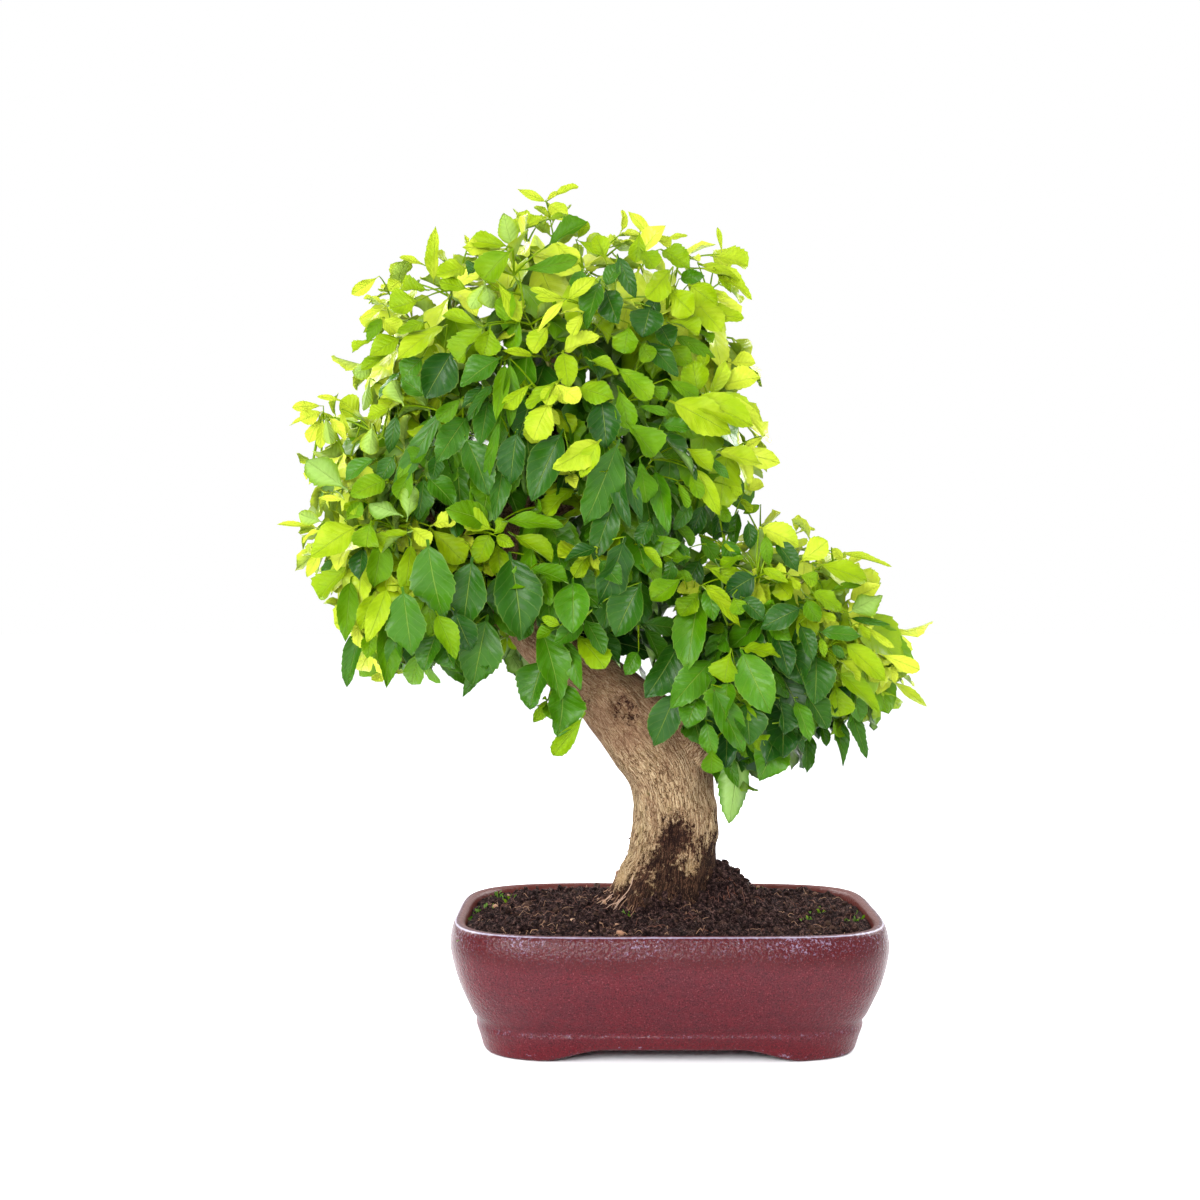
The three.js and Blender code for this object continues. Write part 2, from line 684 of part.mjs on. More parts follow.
function dressCrown(sprays, trunk, soil) {
  const plants = sprays.map((spray) => ({ spray, solids: [spraySolid(spray, [])], leaves: [] }));
  const tryLeaf = (plant, leaf) => {
    const { spray, solids, leaves } = plant;
    const blade = leafSolid(leaf, spray.kind, spray.stem);
    const apart = (solid) => blade.minGap(solid, 2 * TOO_NEAR) >= TOO_NEAR;
    const crosses = (solid) => blade.intersect(solid).volume() > CROSSING;
    const others = plants.filter((other) => other !== plant).flatMap((other) => other.solids);
    if (![trunk, soil, ...others].every(apart) || solids.some(crosses)) return false;
    solids.push(blade);
    leaves.push(leaf);
    return true;
  };
  const most = Math.max(...sprays.map((spray) => spray.leaves.length));
  for (let n = 0; n < most; n += 1) {
    for (const plant of plants) {
      const leaf = plant.spray.leaves[n];
      if (leaf) TURNS.some((turn) => tryLeaf(plant, turned(leaf, turn)));
    }
  }
  return plants;
}

const leaders = points(LEADERS);
const youngTips = addTips(YOUNG, leaders, [...leaders]);
const matureTips = addTips(MATURE, [], [...youngTips]);
const sprays = [
  ...matureTips.map((tip, i) => growSpray(MATURE, tip, i + 1)),
  ...youngTips.map((tip, i) => growSpray(YOUNG, tip, i + 1)),
];
const trunk = makeTrunk(sprays);
const soil = makeSoil();

addPiece("pot", makePot(), MATERIALS.pot);
addPiece("drain_net_right", makeDrainNet(DRAIN.x), MATERIALS.net);
addPiece("drain_net_left", makeDrainNet(-DRAIN.x), MATERIALS.net);
addPiece("soil", soil, MATERIALS.soil);
addPiece("trunk", trunk, MATERIALS.bark);
for (const { spray, leaves } of dressCrown(sprays, trunk, soil)) {
  const number = String(spray.index).padStart(2, "0");
  const [name, material] =
    spray.kind === MATURE ? ["mature_spray_", MATERIALS.mature] : ["young_shoot_", MATERIALS.young];
  addPiece(name + number, spraySolid(spray, leaves), material);
}

const box = new THREE.Box3().setFromObject(part);
const middle = box.getCenter(new THREE.Vector3());
part.position.set(-middle.x, -middle.y, -box.min.z);

export default part;
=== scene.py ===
"""A duranta bonsai in a burgundy glazed pot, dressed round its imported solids.

Shapes are worked out in millimetres, round the middle of the pot's foot: X along the pot's long
side, -Y towards the camera and +Z up. to_row turns them into the row's metres.
"""
import itertools
import math

import bpy
import numpy as np
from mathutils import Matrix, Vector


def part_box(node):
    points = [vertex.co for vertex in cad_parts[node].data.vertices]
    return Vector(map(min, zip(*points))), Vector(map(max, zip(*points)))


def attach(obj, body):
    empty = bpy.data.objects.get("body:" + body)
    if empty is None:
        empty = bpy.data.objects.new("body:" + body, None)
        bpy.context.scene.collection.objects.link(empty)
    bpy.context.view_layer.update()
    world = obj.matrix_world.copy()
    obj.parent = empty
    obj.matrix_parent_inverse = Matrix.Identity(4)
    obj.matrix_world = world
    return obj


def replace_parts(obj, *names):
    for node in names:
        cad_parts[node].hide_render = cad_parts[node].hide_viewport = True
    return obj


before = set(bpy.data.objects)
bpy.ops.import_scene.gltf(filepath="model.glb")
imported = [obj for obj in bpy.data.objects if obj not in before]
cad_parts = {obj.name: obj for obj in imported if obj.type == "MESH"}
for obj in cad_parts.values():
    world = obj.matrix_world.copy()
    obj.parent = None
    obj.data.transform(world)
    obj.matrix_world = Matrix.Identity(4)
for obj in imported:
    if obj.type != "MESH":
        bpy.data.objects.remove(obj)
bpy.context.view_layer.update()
MM = 0.001
POT_LOW, POT_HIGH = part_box("pot")
POT_CENTRE = np.array([(POT_LOW.x + POT_HIGH.x) / 2, (POT_LOW.y + POT_HIGH.y) / 2, 0.0])

# Pot, in millimetres
POT = {"half_length": 127, "half_width": 99, "roundness": 4.5}
ARCH = {"front": 75, "side": 46, "flat": 0.5, "rise": 7}
DRAIN = {"x": 55, "radius": 8}
FOOT_TOP = 16  # the arches are lost in the wall below this height

# Soil
SOIL = {"top": 69, "mound": 9, "spread": 62, "inset": 9.6}
BED = 76  # about the height of its open stretches
HEAP = {"x": 31, "y": -3, "rise": 22, "spread": 25}
RIDGE = {"rise": 7, "radius": 26, "spread": 90}  # round the trunk's foot
SOIL_SIDES = ((11, 55), (17.5, 26), (22.5, 17.6))  # inset and height down the pot's inside
SOIL_GRID = (230, 180)

# Camera: where the photograph was taken from, and its lens on a 36 mm sensor
CAMERA = {"place": (-40, -1080, 257.5), "lens": 54, "sensor": 36}
PHOTO = {"focal": 1800, "middle": 600}  # in the photograph's pixels

UP = np.array([0.0, 0.0, 1.0])
SEEDS = {"litter": 7, "fine_roots": 21, "moss": 3, "front_leaves": 17}
SEEDS |= {"mature_fill_left": 5, "mature_fill_right": 7, "young_fill": 9}

# Small numeric helpers


def to_row(points):
    """Millimetres round the pot's foot to metres in the row's frame."""
    return np.asarray(points, float) * MM + POT_CENTRE


def unit(vector):
    return vector / max(np.linalg.norm(vector), 1e-9)


def square_to(direction, vector):
    """vector without its part along a direction, one long."""
    return unit(vector - direction * (vector @ direction))


def ease(t):
    t = np.clip(t, 0, 1)
    return t * t * (3 - 2 * t)


def hashed(cells, seed):
    """A value from 0 to 1 for each whole-numbered cell."""
    mixed = cells @ np.array([374761393, 668265263, 1274126177]) + seed * 974634777
    mixed = mixed & 0xFFFFFFFF
    mixed = ((mixed ^ (mixed >> 13)) * 1103515245) & 0xFFFFFFFF
    mixed = ((mixed ^ (mixed >> 16)) * 2246822519) & 0xFFFFFFFF
    return (mixed ^ (mixed >> 15)) / 0xFFFFFFFF


def noise(points, cell, seed=0):
    """Smooth noise from -1 to 1. cell is its size in millimetres, as one number or three."""
    scaled = np.asarray(points, float) / np.asarray(cell, float)
    base = np.floor(scaled)
    part = ease(scaled - base)
    base = base.astype(np.int64)
    total = np.zeros(scaled.shape[:-1])
    for corner in itertools.product((0, 1), repeat=3):
        corner = np.array(corner)
        weight = np.prod(np.where(corner, part, 1 - part), axis=-1)
        total += weight * hashed(base + corner, seed)
    return 2 * total - 1


def smooth_line(points, count):
    """A smooth line through points (rows of any width), with count rows."""
    points = np.asarray(points, float)
    padded = np.vstack([2 * points[0] - points[1], points, 2 * points[-1] - points[-2]])
    place = np.linspace(0, len(points) - 1, count)
    first = np.minimum(place.astype(int), len(points) - 2)
    t = (place - first)[:, None]
    a, b, c, d = (padded[first + k] for k in range(4))
    bend = (2 * a - 5 * b + 4 * c - d) * t**2 + (3 * b - a - 3 * c + d) * t**3
    return 0.5 * (2 * b + (c - a) * t + bend)


def bezier(a, b, c, t):
    t = np.asarray(t, float)[..., None]
    a, b, c = (np.asarray(p, float) for p in (a, b, c))
    return (1 - t) ** 2 * a + 2 * t * (1 - t) * b + t**2 * c


def seen_at(pixel, depth):
    """The point behind a pixel of the photograph, at that distance along Y."""
    x, y, z = CAMERA["place"]
    away = (depth - y) / PHOTO["focal"]
    across, down = pixel[0] - PHOTO["middle"], pixel[1] - PHOTO["middle"]
    return np.array([x + across * away, depth, z - down * away])


def pixel_of(point):
    """Where the photograph shows a point."""
    x, y, z = CAMERA["place"]
    scale = PHOTO["focal"] / (point[1] - y)
    across, up = (point[0] - x) * scale, (point[2] - z) * scale
    return np.array([PHOTO["middle"] + across, PHOTO["middle"] - up])


# Meshes

CREASE = math.radians(75)  # edges bent by more than this are sharp


def new_object(name, data):
    made = bpy.data.objects.new(name, data)
    bpy.context.scene.collection.objects.link(made)
    return made


class Sheaf:
    """Vertices, faces and point attributes of one piece, gathered before its mesh is made."""

    def __init__(self, *attributes):
        self.points = []
        self.faces = []
        self.values = {name: [] for name in attributes}
        self.count = 0

    def add(self, points, faces, **values):
        points = np.asarray(points, float).reshape(-1, 3)
        self.points.append(points)
        self.faces.extend([[i + self.count for i in face] for face in faces])
        for name, found in self.values.items():
            value = np.asarray(values.get(name, 0.0), float).reshape(-1)
            found.append(np.broadcast_to(value, (len(points),)))
        self.count += len(points)

    def piece(self, name, material, slot, smooth=True):
        """The finished object, which rides on the one body."""
        mesh = bpy.data.meshes.new(name)
        mesh.from_pydata(to_row(np.vstack(self.points)).tolist(), [], self.faces)
        for label, found in self.values.items():
            layer = mesh.attributes.new(label, "FLOAT", "POINT")
            layer.data.foreach_set("value", np.concatenate(found).astype(np.float32))
        mesh.materials.append(material)
        mesh.polygons.foreach_set("use_smooth", [smooth] * len(mesh.polygons))
        mesh.update()
        mesh.set_sharp_from_angle(angle=CREASE)
        piece = new_object(name, mesh)
        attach(piece, "root")
        return piece


def grid_faces(rows, columns, closed=True):
    """Quads of a grid of rows by columns, whose columns close on themselves if asked."""
    faces = []
    for r in range(rows - 1):
        low, high = r * columns, (r + 1) * columns
        for c in range(columns if closed else columns - 1):
            after = (c + 1) % columns
            faces.append([low + c, low + after, high + after, high + c])
    return faces


def capped(rows, columns):
    """Faces of a closed tube, with a flat cap at both ends."""
    top = (rows - 1) * columns
    low_end = list(reversed(range(columns)))
    high_end = [top + c for c in range(columns)]
    return grid_faces(rows, columns) + [low_end, high_end]


def tube_grid(line, sides):
    """A tube's rings, outward directions, angles and lengths. line's rows are x, y, z, radius."""
    line = np.asarray(line, float)
    centre = line[:, :3]
    along = np.gradient(centre, axis=0)
    along /= np.linalg.norm(along, axis=1, keepdims=True)
    angle = np.linspace(0, 2 * np.pi, sides, endpoint=False)
    side = np.array([1.0, 0.0, 0.0])
    if abs(along[0] @ side) > 0.9:
        side = np.array([0.0, 1.0, 0.0])
    outward = np.zeros((len(line), sides, 3))
    for i, direction in enumerate(along):
        side = square_to(direction, side)
        other = np.cross(direction, side)
        outward[i] = np.outer(np.cos(angle), side) + np.outer(np.sin(angle), other)
    steps = np.linalg.norm(np.diff(centre, axis=0), axis=1)
    travelled = np.concatenate([[0], np.cumsum(steps)])
    points = centre[:, None, :] + outward * line[:, 3][:, None, None]
    return points, outward, angle, travelled


def add_tube(sheaf, line, sides, **values):
    points = tube_grid(line, sides)[0]
    sheaf.add(points, capped(len(points), sides), **values)


# Materials


class Nodes:
    """A material's node tree, with a short call for each kind of node used here."""

    def __init__(self, name):
        self.material = bpy.data.materials.new(name)
        self.material.use_nodes = True
        self.tree = self.material.node_tree
        self.tree.nodes.clear()

    def add(self, kind, settings=None, **inputs):
        node = self.tree.nodes.new("ShaderNode" + kind)
        for key, value in (settings or {}).items():
            setattr(node, key, value)
        for key, value in inputs.items():
            self.put(node.inputs[key.replace("_", " ")], value)
        return node

    def put(self, socket, value):
        if isinstance(value, bpy.types.NodeSocket):
            self.tree.links.new(value, socket)
        elif socket.type == "RGBA":
            socket.default_value = (*value, 1.0)
        else:
            socket.default_value = value

    def math(self, operation, a, b=0.0, kind="Math"):
        node = self.add(kind, {"operation": operation})
        self.put(node.inputs[0], a)
        self.put(node.inputs[1], b)
        return node.outputs[0]

    def vector(self, operation, a, b):
        return self.math(operation, a, b, "VectorMath")

    def plus(self, a, b):
        return self.math("ADD", a, b)

    def minus(self, a, b):
        return self.math("SUBTRACT", a, b)

    def times(self, a, b):
        return self.math("MULTIPLY", a, b)

    def mix(self, share, a, b):
        node = self.add("Mix", {"data_type": "RGBA"}, Factor=share)
        self.put(node.inputs[6], a)
        self.put(node.inputs[7], b)
        return node.outputs[2]

    def attribute(self, name):
        return self.add("Attribute", {"attribute_name": name}).outputs["Fac"]

    def place(self):
        """Object coordinates in millimetres."""
        found = self.add("TexCoord").outputs["Object"]
        return self.add("Mapping", Vector=found, Scale=[1 / MM] * 3).outputs[0]

    def noise(self, cell, detail=2.0, rough=0.5, at=None, output="Fac"):
        """Noise from 0 to 1 with cells of about that many millimetres."""
        at = at or self.place()
        node = self.add("TexNoise", Vector=at, Scale=1 / cell, Detail=detail, Roughness=rough)
        return node.outputs[output]

    def sway(self, amount, *noise, **where):
        """The same noise round zero, times amount."""
        return self.times(self.minus(self.noise(*noise, **where), 0.5), amount)

    def seams(self, cell, at):
        """How far a place lies from the edges of cells."""
        node = self.add("TexVoronoi", {"feature": "DISTANCE_TO_EDGE"}, Vector=at, Scale=1 / cell)
        return node.outputs["Distance"]

    def ramp(self, share, *stops):
        """A colour for share, from stops of a place and a colour."""
        node = self.add("ValToRGB", Fac=share)
        while len(node.color_ramp.elements) < len(stops):
            node.color_ramp.elements.new(0.5)
        for element, (position, colour) in zip(node.color_ramp.elements, stops):
            element.position = position
            element.color = (*colour, 1.0)
        return node.outputs["Color"]

    def span(self, value, low, high, to_low=0.0, to_high=1.0):
        """value between low and high, eased and set between two other numbers."""
        ends = {"From_Min": low, "From_Max": high, "To_Min": to_low, "To_Max": to_high}
        node = self.add("MapRange", {"interpolation_type": "SMOOTHSTEP"}, Value=value, **ends)
        return node.outputs["Result"]

    def bump(self, height, distance, **before):
        """height's relief in millimetres, on top of the Normal of another bump."""
        node = self.add("Bump", Height=height, Distance=distance * MM, Strength=1.0, **before)
        return node.outputs["Normal"]

    def opaque(self, colour, roughness, **inputs):
        """The finished material, with one opaque layer."""
        inputs |= {"Base_Color": colour, "Roughness": roughness}
        return self.surface(self.add("BsdfPrincipled", **inputs))

    def surface(self, shader):
        self.add("OutputMaterial", Surface=shader.outputs[0])
        return self.material


# Linear colours
BURGUNDY = (0.077, 0.0068, 0.0114)
CRIMSON = (0.048, 0.0005, 0.0020)
GLAZE_DUSK = (0.052, 0.0068, 0.0114)
# Pale glaze break on the lip, which also carries a painted highlight
PALE_BREAK_AND_HIGHLIGHT = (0.30, 0.27, 0.36)
GLAZE_DARK = (0.030, 0.0030, 0.0060)
GLAZE_SPECK = (0.36, 0.10, 0.11)
GLAZE_WINE = (0.092, 0.0046, 0.0090)
GLAZE_FOOT = (0.088, 0.0022, 0.0060)
GLAZE_WORN = (0.30, 0.25, 0.36)
# Painted highlight: pale flecks that stand for glints of light on the glaze
PAINTED_GLINT_PALE = (0.30, 0.25, 0.38)
LIP_BROWN = (0.085, 0.020, 0.016)
BARK_LIGHT = (0.68, 0.53, 0.33)
BARK_FRESH = (0.62, 0.44, 0.20)
BARK_MOSSY = (0.36, 0.30, 0.12)
BARK_PALE = (0.45, 0.308, 0.168)
BARK_MID = (0.305, 0.185, 0.097)
BARK_DARK = (0.070, 0.036, 0.020)
BARK_RED = (0.240, 0.120, 0.072)
BARK_SOILED = (0.011, 0.0046, 0.0056)
SOILED_RIDGE = (0.21, 0.082, 0.042)
BUD_GREEN = (0.16, 0.28, 0.03)
SOIL_DARK = (0.0036, 0.0018, 0.0018)
SOIL_MID = (0.026, 0.0135, 0.0130)
SOIL_LIGHT = (0.100, 0.056, 0.049)
SOIL_PALE = (0.20, 0.12, 0.09)
CRUMB_PALE = (0.13, 0.075, 0.050)
GRIT = [(0.035, 0.016, 0.011), (0.17, 0.055, 0.030), (0.36, 0.21, 0.12), (0.50, 0.33, 0.24)]
GRIT_DUST = (0.09, 0.045, 0.03)
NET_BLACK = (0.012, 0.012, 0.012)
NET_DUST = (0.045, 0.032, 0.025)
FLOOR_WHITE = (0.96, 0.97, 1.0)
LEAF_DEEP = (0.0065, 0.044, 0.0040)
LEAF_DARK = (0.017, 0.076, 0.0020)
LEAF_GREEN = (0.042, 0.145, 0.0010)
LEAF_MID = (0.112, 0.246, 0.0010)
LEAF_LIME = (0.270, 0.395, 0.0030)
LEAF_YELLOW = (0.560, 0.640, 0.045)
LEAF_UNDER = (0.310, 0.480, 0.130)
LEAF_VEIN = (0.330, 0.460, 0.070)
BROWN_SPOT = (0.070, 0.030, 0.008)


def pot_material():
    """Burgundy glaze, more crimson to its top, with dark specks, a painted highlight of pale flecks under
    the lip and at the waist, and a pale glaze break along the lip that also holds a painted highlight.
    """
    n = Nodes("pot_glaze")
    height, cloud = n.attribute("height"), n.noise(30, 3)
    body = n.mix(n.span(n.noise(7, 4, 0.6), 0.35, 0.7, 0, 0.6), BURGUNDY, GLAZE_DUSK)
    body = n.mix(n.span(cloud, 0.45, 0.65, 0, 0.4), body, GLAZE_WINE)
    band = n.plus(height, n.times(cloud, 14.0))
    body = n.mix(n.span(band, 58, 68, 0, 0.9), body, CRIMSON)
    body = n.mix(n.span(height, 17, 6, 0, 0.7), body, GLAZE_FOOT)
    speck = n.noise(0.85, 3, 0.7)
    body = n.mix(n.span(speck, 0.52, 0.60, 0, 0.95), body, GLAZE_DARK)
    body = n.mix(n.span(speck, 0.40, 0.31, 0, 0.28), body, GLAZE_SPECK)
    worn = n.plus(n.noise(2.6, 4, 0.65), n.span(height, 9, 3, -0.30, 0.0))
    body = n.mix(n.span(worn, 0.60, 0.70, 0, 0.75), body, GLAZE_WORN)
    # Painted highlight: pale flecks in a band under the lip, where glints of light would sit
    painted_glint = n.times(n.span(height, 56, 70), n.span(n.noise(34, 2), 0.36, 0.62, 0.35, 1.0))
    # and a painted highlight in flecks along the waist
    waist_glint = n.times(n.span(height, 13, 15), n.span(height, 18, 16, 0, 0.45))
    painted_glint = n.math("MAXIMUM", painted_glint, waist_glint)
    glint_fleck = n.span(n.plus(n.noise(1.5, 3, 0.7), n.times(painted_glint, 0.05)), 0.56, 0.70)
    body = n.mix(n.times(n.times(painted_glint, glint_fleck), 0.46), body, PAINTED_GLINT_PALE)
    # The pale band along the lip is partly a glaze break and partly a painted highlight
    edge = n.plus(n.attribute("rim"), n.sway(0.6, 3, 3))
    body = n.mix(n.span(edge, 0.45, 0.95, 0, 0.85), body, PALE_BREAK_AND_HIGHLIGHT)
    body = n.mix(n.span(n.attribute("inside"), 0.3, 0.7), body, LIP_BROWN)
    peel = n.bump(n.noise(1.9, 2, 0.5), 0.70)
    peel = n.bump(n.noise(0.9, 2, 0.5), 0.20, Normal=peel)
    coat = {"Coat_Weight": 0.36, "Coat_Roughness": 0.06, "Coat_Normal": peel}
    return n.opaque(body, 0.42, Normal=peel, Specular_IOR_Level=0.03, **coat)


def bark_material():
    """Long narrow ridges between dark furrows. turn_x, turn_y and length unroll the bark."""
    n = Nodes("bark")
    length = n.times(n.attribute("length"), 0.10)
    grain = n.add("CombineXYZ", X=n.attribute("turn_x"), Y=n.attribute("turn_y"), Z=length)
    warp = n.vector("SUBTRACT", n.noise(5, 3, 0.6, output="Color"), (0.5, 0.5, 0.5))
    warped = n.vector("ADD", grain.outputs[0], n.vector("MULTIPLY", warp, (2.8, 2.8, 1.6)))
    seam = n.math("ABSOLUTE", n.sway(1.0, 1.5, 3, 0.55, at=warped))
    plate = n.span(n.seams(1.5, warped), 0.0, 0.12, 0.4)
    cleft = n.times(n.span(seam, 0.0, 0.05), plate)
    fine = n.sway(1.0, 0.60, 4, 0.72, at=warped)
    ridge = n.plus(n.times(cleft, 0.64), n.times(fine, 2.0))
    colour = n.ramp(ridge, (0.0, BARK_DARK), (0.28, BARK_MID), (0.56, BARK_PALE), (0.9, BARK_LIGHT))
    patch, stain = n.noise(15, 4, 0.6), n.attribute("stain")
    tints = [
        (n.span(patch, 0.48, 0.66, 0, 0.65), 0.55, BARK_RED),
        (n.span(patch, 0.44, 0.30, 0, 0.5), 0.4, BARK_MOSSY),
        (n.attribute("red"), 0.5, BARK_RED),
        (n.attribute("pale"), 0.35, BARK_FRESH),
    ]
    for share, strength, tint in tints:
        colour = n.mix(share, colour, n.mix(strength, colour, tint))
    blots = n.plus(n.sway(6.0, 4.2, 7, 0.82), n.times(fine, 2.2))
    stain = n.plus(stain, n.times(blots, n.span(stain, 0.04, 0.45, 0.12, 1)))
    dirty = n.mix(n.span(ridge, 0.4, 0.9, 0, 0.50), BARK_SOILED, SOILED_RIDGE)
    colour = n.mix(n.span(stain, 0.35, 0.75, 0, 0.95), colour, dirty)
    colour = n.mix(n.attribute("green"), colour, BUD_GREEN)
    relief = n.bump(n.noise(3.0, 3, 0.6), 0.35, Normal=n.bump(ridge, 1.3))
    return n.opaque(colour, 0.85, Normal=relief, Specular_IOR_Level=0.04)


def soil_material():
    n = Nodes("potting_soil")
    crumb = n.noise(2.2, 6, 0.8)
    colour = n.ramp(crumb, (0.44, SOIL_DARK), (0.54, SOIL_MID), (0.61, SOIL_LIGHT), (0.70, SOIL_PALE))
    colour = n.mix(n.attribute("tone"), colour, CRUMB_PALE)
    relief = n.bump(n.noise(1.2, 4, 0.75), 1.3)
    return n.opaque(colour, 0.95, Normal=relief, Specular_IOR_Level=0.05)


def grit_material():
    """Pebbles and root fibres: tone 0 is dark, 1 is pale and it is reddish in between."""
    n = Nodes("grit")
    colour = n.ramp(n.attribute("tone"), *zip((0.0, 0.35, 0.7, 1.0), GRIT))
    return n.opaque(n.mix(n.span(n.noise(0.8, 3), 0.5, 0.7, 0, 0.5), colour, GRIT_DUST), 0.9)


def leaf_material(name, gloss, through, sheen):
    """A leaf and its stem. tone picks the colour, and along and across are places on the blade."""
    n = Nodes(name)
    along, wide = n.attribute("along"), n.math("ABSOLUTE", n.attribute("across"))
    tone = n.plus(n.attribute("tone"), n.sway(0.22, 12, 3))
    stops = (LEAF_DEEP, LEAF_DARK, LEAF_GREEN, LEAF_MID, LEAF_LIME, LEAF_YELLOW)
    colour = n.ramp(tone, *zip((0.0, 0.2, 0.42, 0.62, 0.82, 1.0), stops))
    # Side veins leave the midrib at a slant and run on to the edge
    slant = n.minus(n.times(along, 7.0), n.times(wide, 1.7))
    wave = n.math("ABSOLUTE", n.minus(n.math("FRACT", slant), 0.5))
    side_vein, midrib = n.span(wave, 0.060, 0.0, 0, 0.34), n.span(wide, 0.042, 0.010)
    blade = n.math("GREATER_THAN", along, 0.001)
    vein = n.times(n.math("MAXIMUM", side_vein, midrib), blade)
    rim = n.times(n.span(wide, 0.93, 1.0, 0, 0.42), blade)
    pale = n.mix(0.5, colour, LEAF_VEIN)
    colour = n.mix(n.math("MAXIMUM", n.times(vein, 0.60), rim), colour, pale)
    colour = n.mix(n.times(n.attribute("under"), 0.6), colour, LEAF_UNDER)
    spot = n.times(n.attribute("spots"), n.span(n.noise(2.3, 3, 0.6), 0.64, 0.72))
    colour = n.mix(n.times(spot, 0.6), colour, BROWN_SPOT)
    quilt = n.times(n.minus(0.5, wave), blade)
    relief = n.bump(n.noise(1.6, 2), 0.10, Normal=n.bump(n.minus(quilt, vein), 0.34))
    skin = {"Base_Color": colour, "Roughness": gloss, "Specular_IOR_Level": sheen}
    solid = n.add("BsdfPrincipled", Normal=relief, **skin)
    glow = n.add("BsdfTranslucent", Color=n.mix(0.3, colour, LEAF_LIME), Normal=relief)
    both = n.add("MixShader", Fac=through)
    n.put(both.inputs[1], solid.outputs[0])
    n.put(both.inputs[2], glow.outputs[0])
    return n.surface(both)


def paint_nets():
    """The drain nets keep their solids' shape, in black plastic with soil dust."""
    n = Nodes("net_plastic")
    dust = n.span(n.noise(5, 3), 0.5, 0.7, 0, 0.5)
    plastic = n.opaque(n.mix(dust, NET_BLACK, NET_DUST), 0.6)
    for name in ("drain_net_right", "drain_net_left"):
        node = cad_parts[name]
        node.data.materials.clear()
        node.data.materials.append(plastic)


# Camera, light and floor

# Name, place, what it lights, size in metres and power
SOFTBOXES = [
    ("key", (-690, -1180, 640), (-10, 0, 90), (1.0, 0.50), 22),
    ("glint", (-10, -1260, 480), (0, 0, 70), (0.30, 0.14), 5),
    ("side", (1000, -500, 900), (0, 0, 250), (0.9, 0.9), 3),
    ("back_left", (-800, 800, 900), (-60, 0, 380), (0.8, 0.8), 24),
    ("back_right", (800, 800, 900), (0, 0, 330), (0.8, 0.8), 24),
]
SUN = {"strength": 0.75, "spread": 1.5, "lean": (0.35, -0.3)}


def set_stage():
    scene = bpy.context.scene
    scene.camera = camera = new_object("camera", bpy.data.cameras.new("camera"))
    camera.location = to_row(CAMERA["place"])
    camera.rotation_euler = (math.pi / 2, 0, 0)
    camera.data.lens = CAMERA["lens"]
    camera.data.sensor_width = CAMERA["sensor"]
    camera.data.clip_end = 50

    scene.world = bpy.data.worlds.new("studio")
    scene.world.use_nodes = True
    background = scene.world.node_tree.nodes["Background"]
    background.inputs["Color"].default_value = (1.0, 1.0, 1.0, 1.0)
    background.inputs["Strength"].default_value = 1.0
    scene.view_settings.view_transform = "Standard"

    sun = new_object("sun", bpy.data.lights.new("sun", "SUN"))
    sun.data.energy = SUN["strength"]
    sun.data.angle = SUN["spread"]
    sun.rotation_euler = (*SUN["lean"], 0)
    for softbox in SOFTBOXES:
        add_softbox(*softbox)
    make_floor()


def add_softbox(name, place, aim, size, power):
    lamp = new_object(name, bpy.data.lights.new(name, "AREA"))
    lamp.data.shape = "RECTANGLE"
    lamp.data.size, lamp.data.size_y = size
    lamp.data.energy = power
    lamp.location = to_row(place)
    back = np.array(place, float) - np.array(aim, float)
    lean = math.atan2(math.hypot(back[0], back[1]), back[2])
    lamp.rotation_euler = (lean, 0, math.atan2(back[0], -back[1]))


def make_floor():
    reach = 12.0  # in metres
    mesh = bpy.data.meshes.new("floor")
    corners = [(x * reach, y * reach, 0) for x, y in ((-1, -1), (1, -1), (1, 1), (-1, 1))]
    mesh.from_pydata(corners, [], [(0, 1, 2, 3)])
    paper = Nodes("floor_paper")
    mesh.materials.append(paper.surface(paper.add("BsdfDiffuse", Color=FLOOR_WHITE)))
    floor = new_object("floor", mesh)


# Pot

# Inset and height of the wall's outline: under the floor, foot, waist, bulge, lip and inside
POT_SECTION = [
    (28, 9), (27.4, 4), (26.6, 0.6), (25, 0), (21, 0), (18.9, 0.7), (17.9, 3), (16.5, 8), (15.2, 12),
    (14.7, 14.4), (15.0, 16.2), (14.2, 18.8), (12.6, 21), (10.4, 25.5), (8.2, 30.5), (6.1, 35.2),
    (4.3, 40), (2.7, 45.5), (1.4, 51), (0.4, 56.5), (0.1, 60.5), (0.5, 64.5), (1.3, 68.3), (2.2, 71),
    (3.4, 72.6), (5, 73), (7, 72.7), (8.4, 71.6), (9, 69.5), (9.6, 63), (10.5, 55), (13.4, 40),
    (17, 26), (22, 17),
]
LIP_TURN = 25  # the section's point on top of the lip
POT_SIDES = 240
UNEVEN = {"wall": 0.004, "lip": 0.5}  # how much the hand-made wall and lip sway


def even_outline(inset, count):
    """The pot's outline at an inset, with its points spread evenly along it."""
    angle = np.linspace(0, 2 * np.pi, 8 * count + 1)
    power = 2 / POT["roundness"]
    x = (POT["half_length"] - inset) * np.sign(np.cos(angle)) * np.abs(np.cos(angle)) ** power
    y = (POT["half_width"] - inset) * np.sign(np.sin(angle)) * np.abs(np.sin(angle)) ** power
    travelled = np.concatenate([[0], np.cumsum(np.hypot(np.diff(x), np.diff(y)))])
    places = np.linspace(0, travelled[-1], count, endpoint=False)
    return np.interp(places, travelled, x), np.interp(places, travelled, y)


def arch_height(place, half_span):
    flank = half_span * (1 - ARCH["flat"])
    return ARCH["rise"] * ease((half_span - np.abs(place)) / flank)


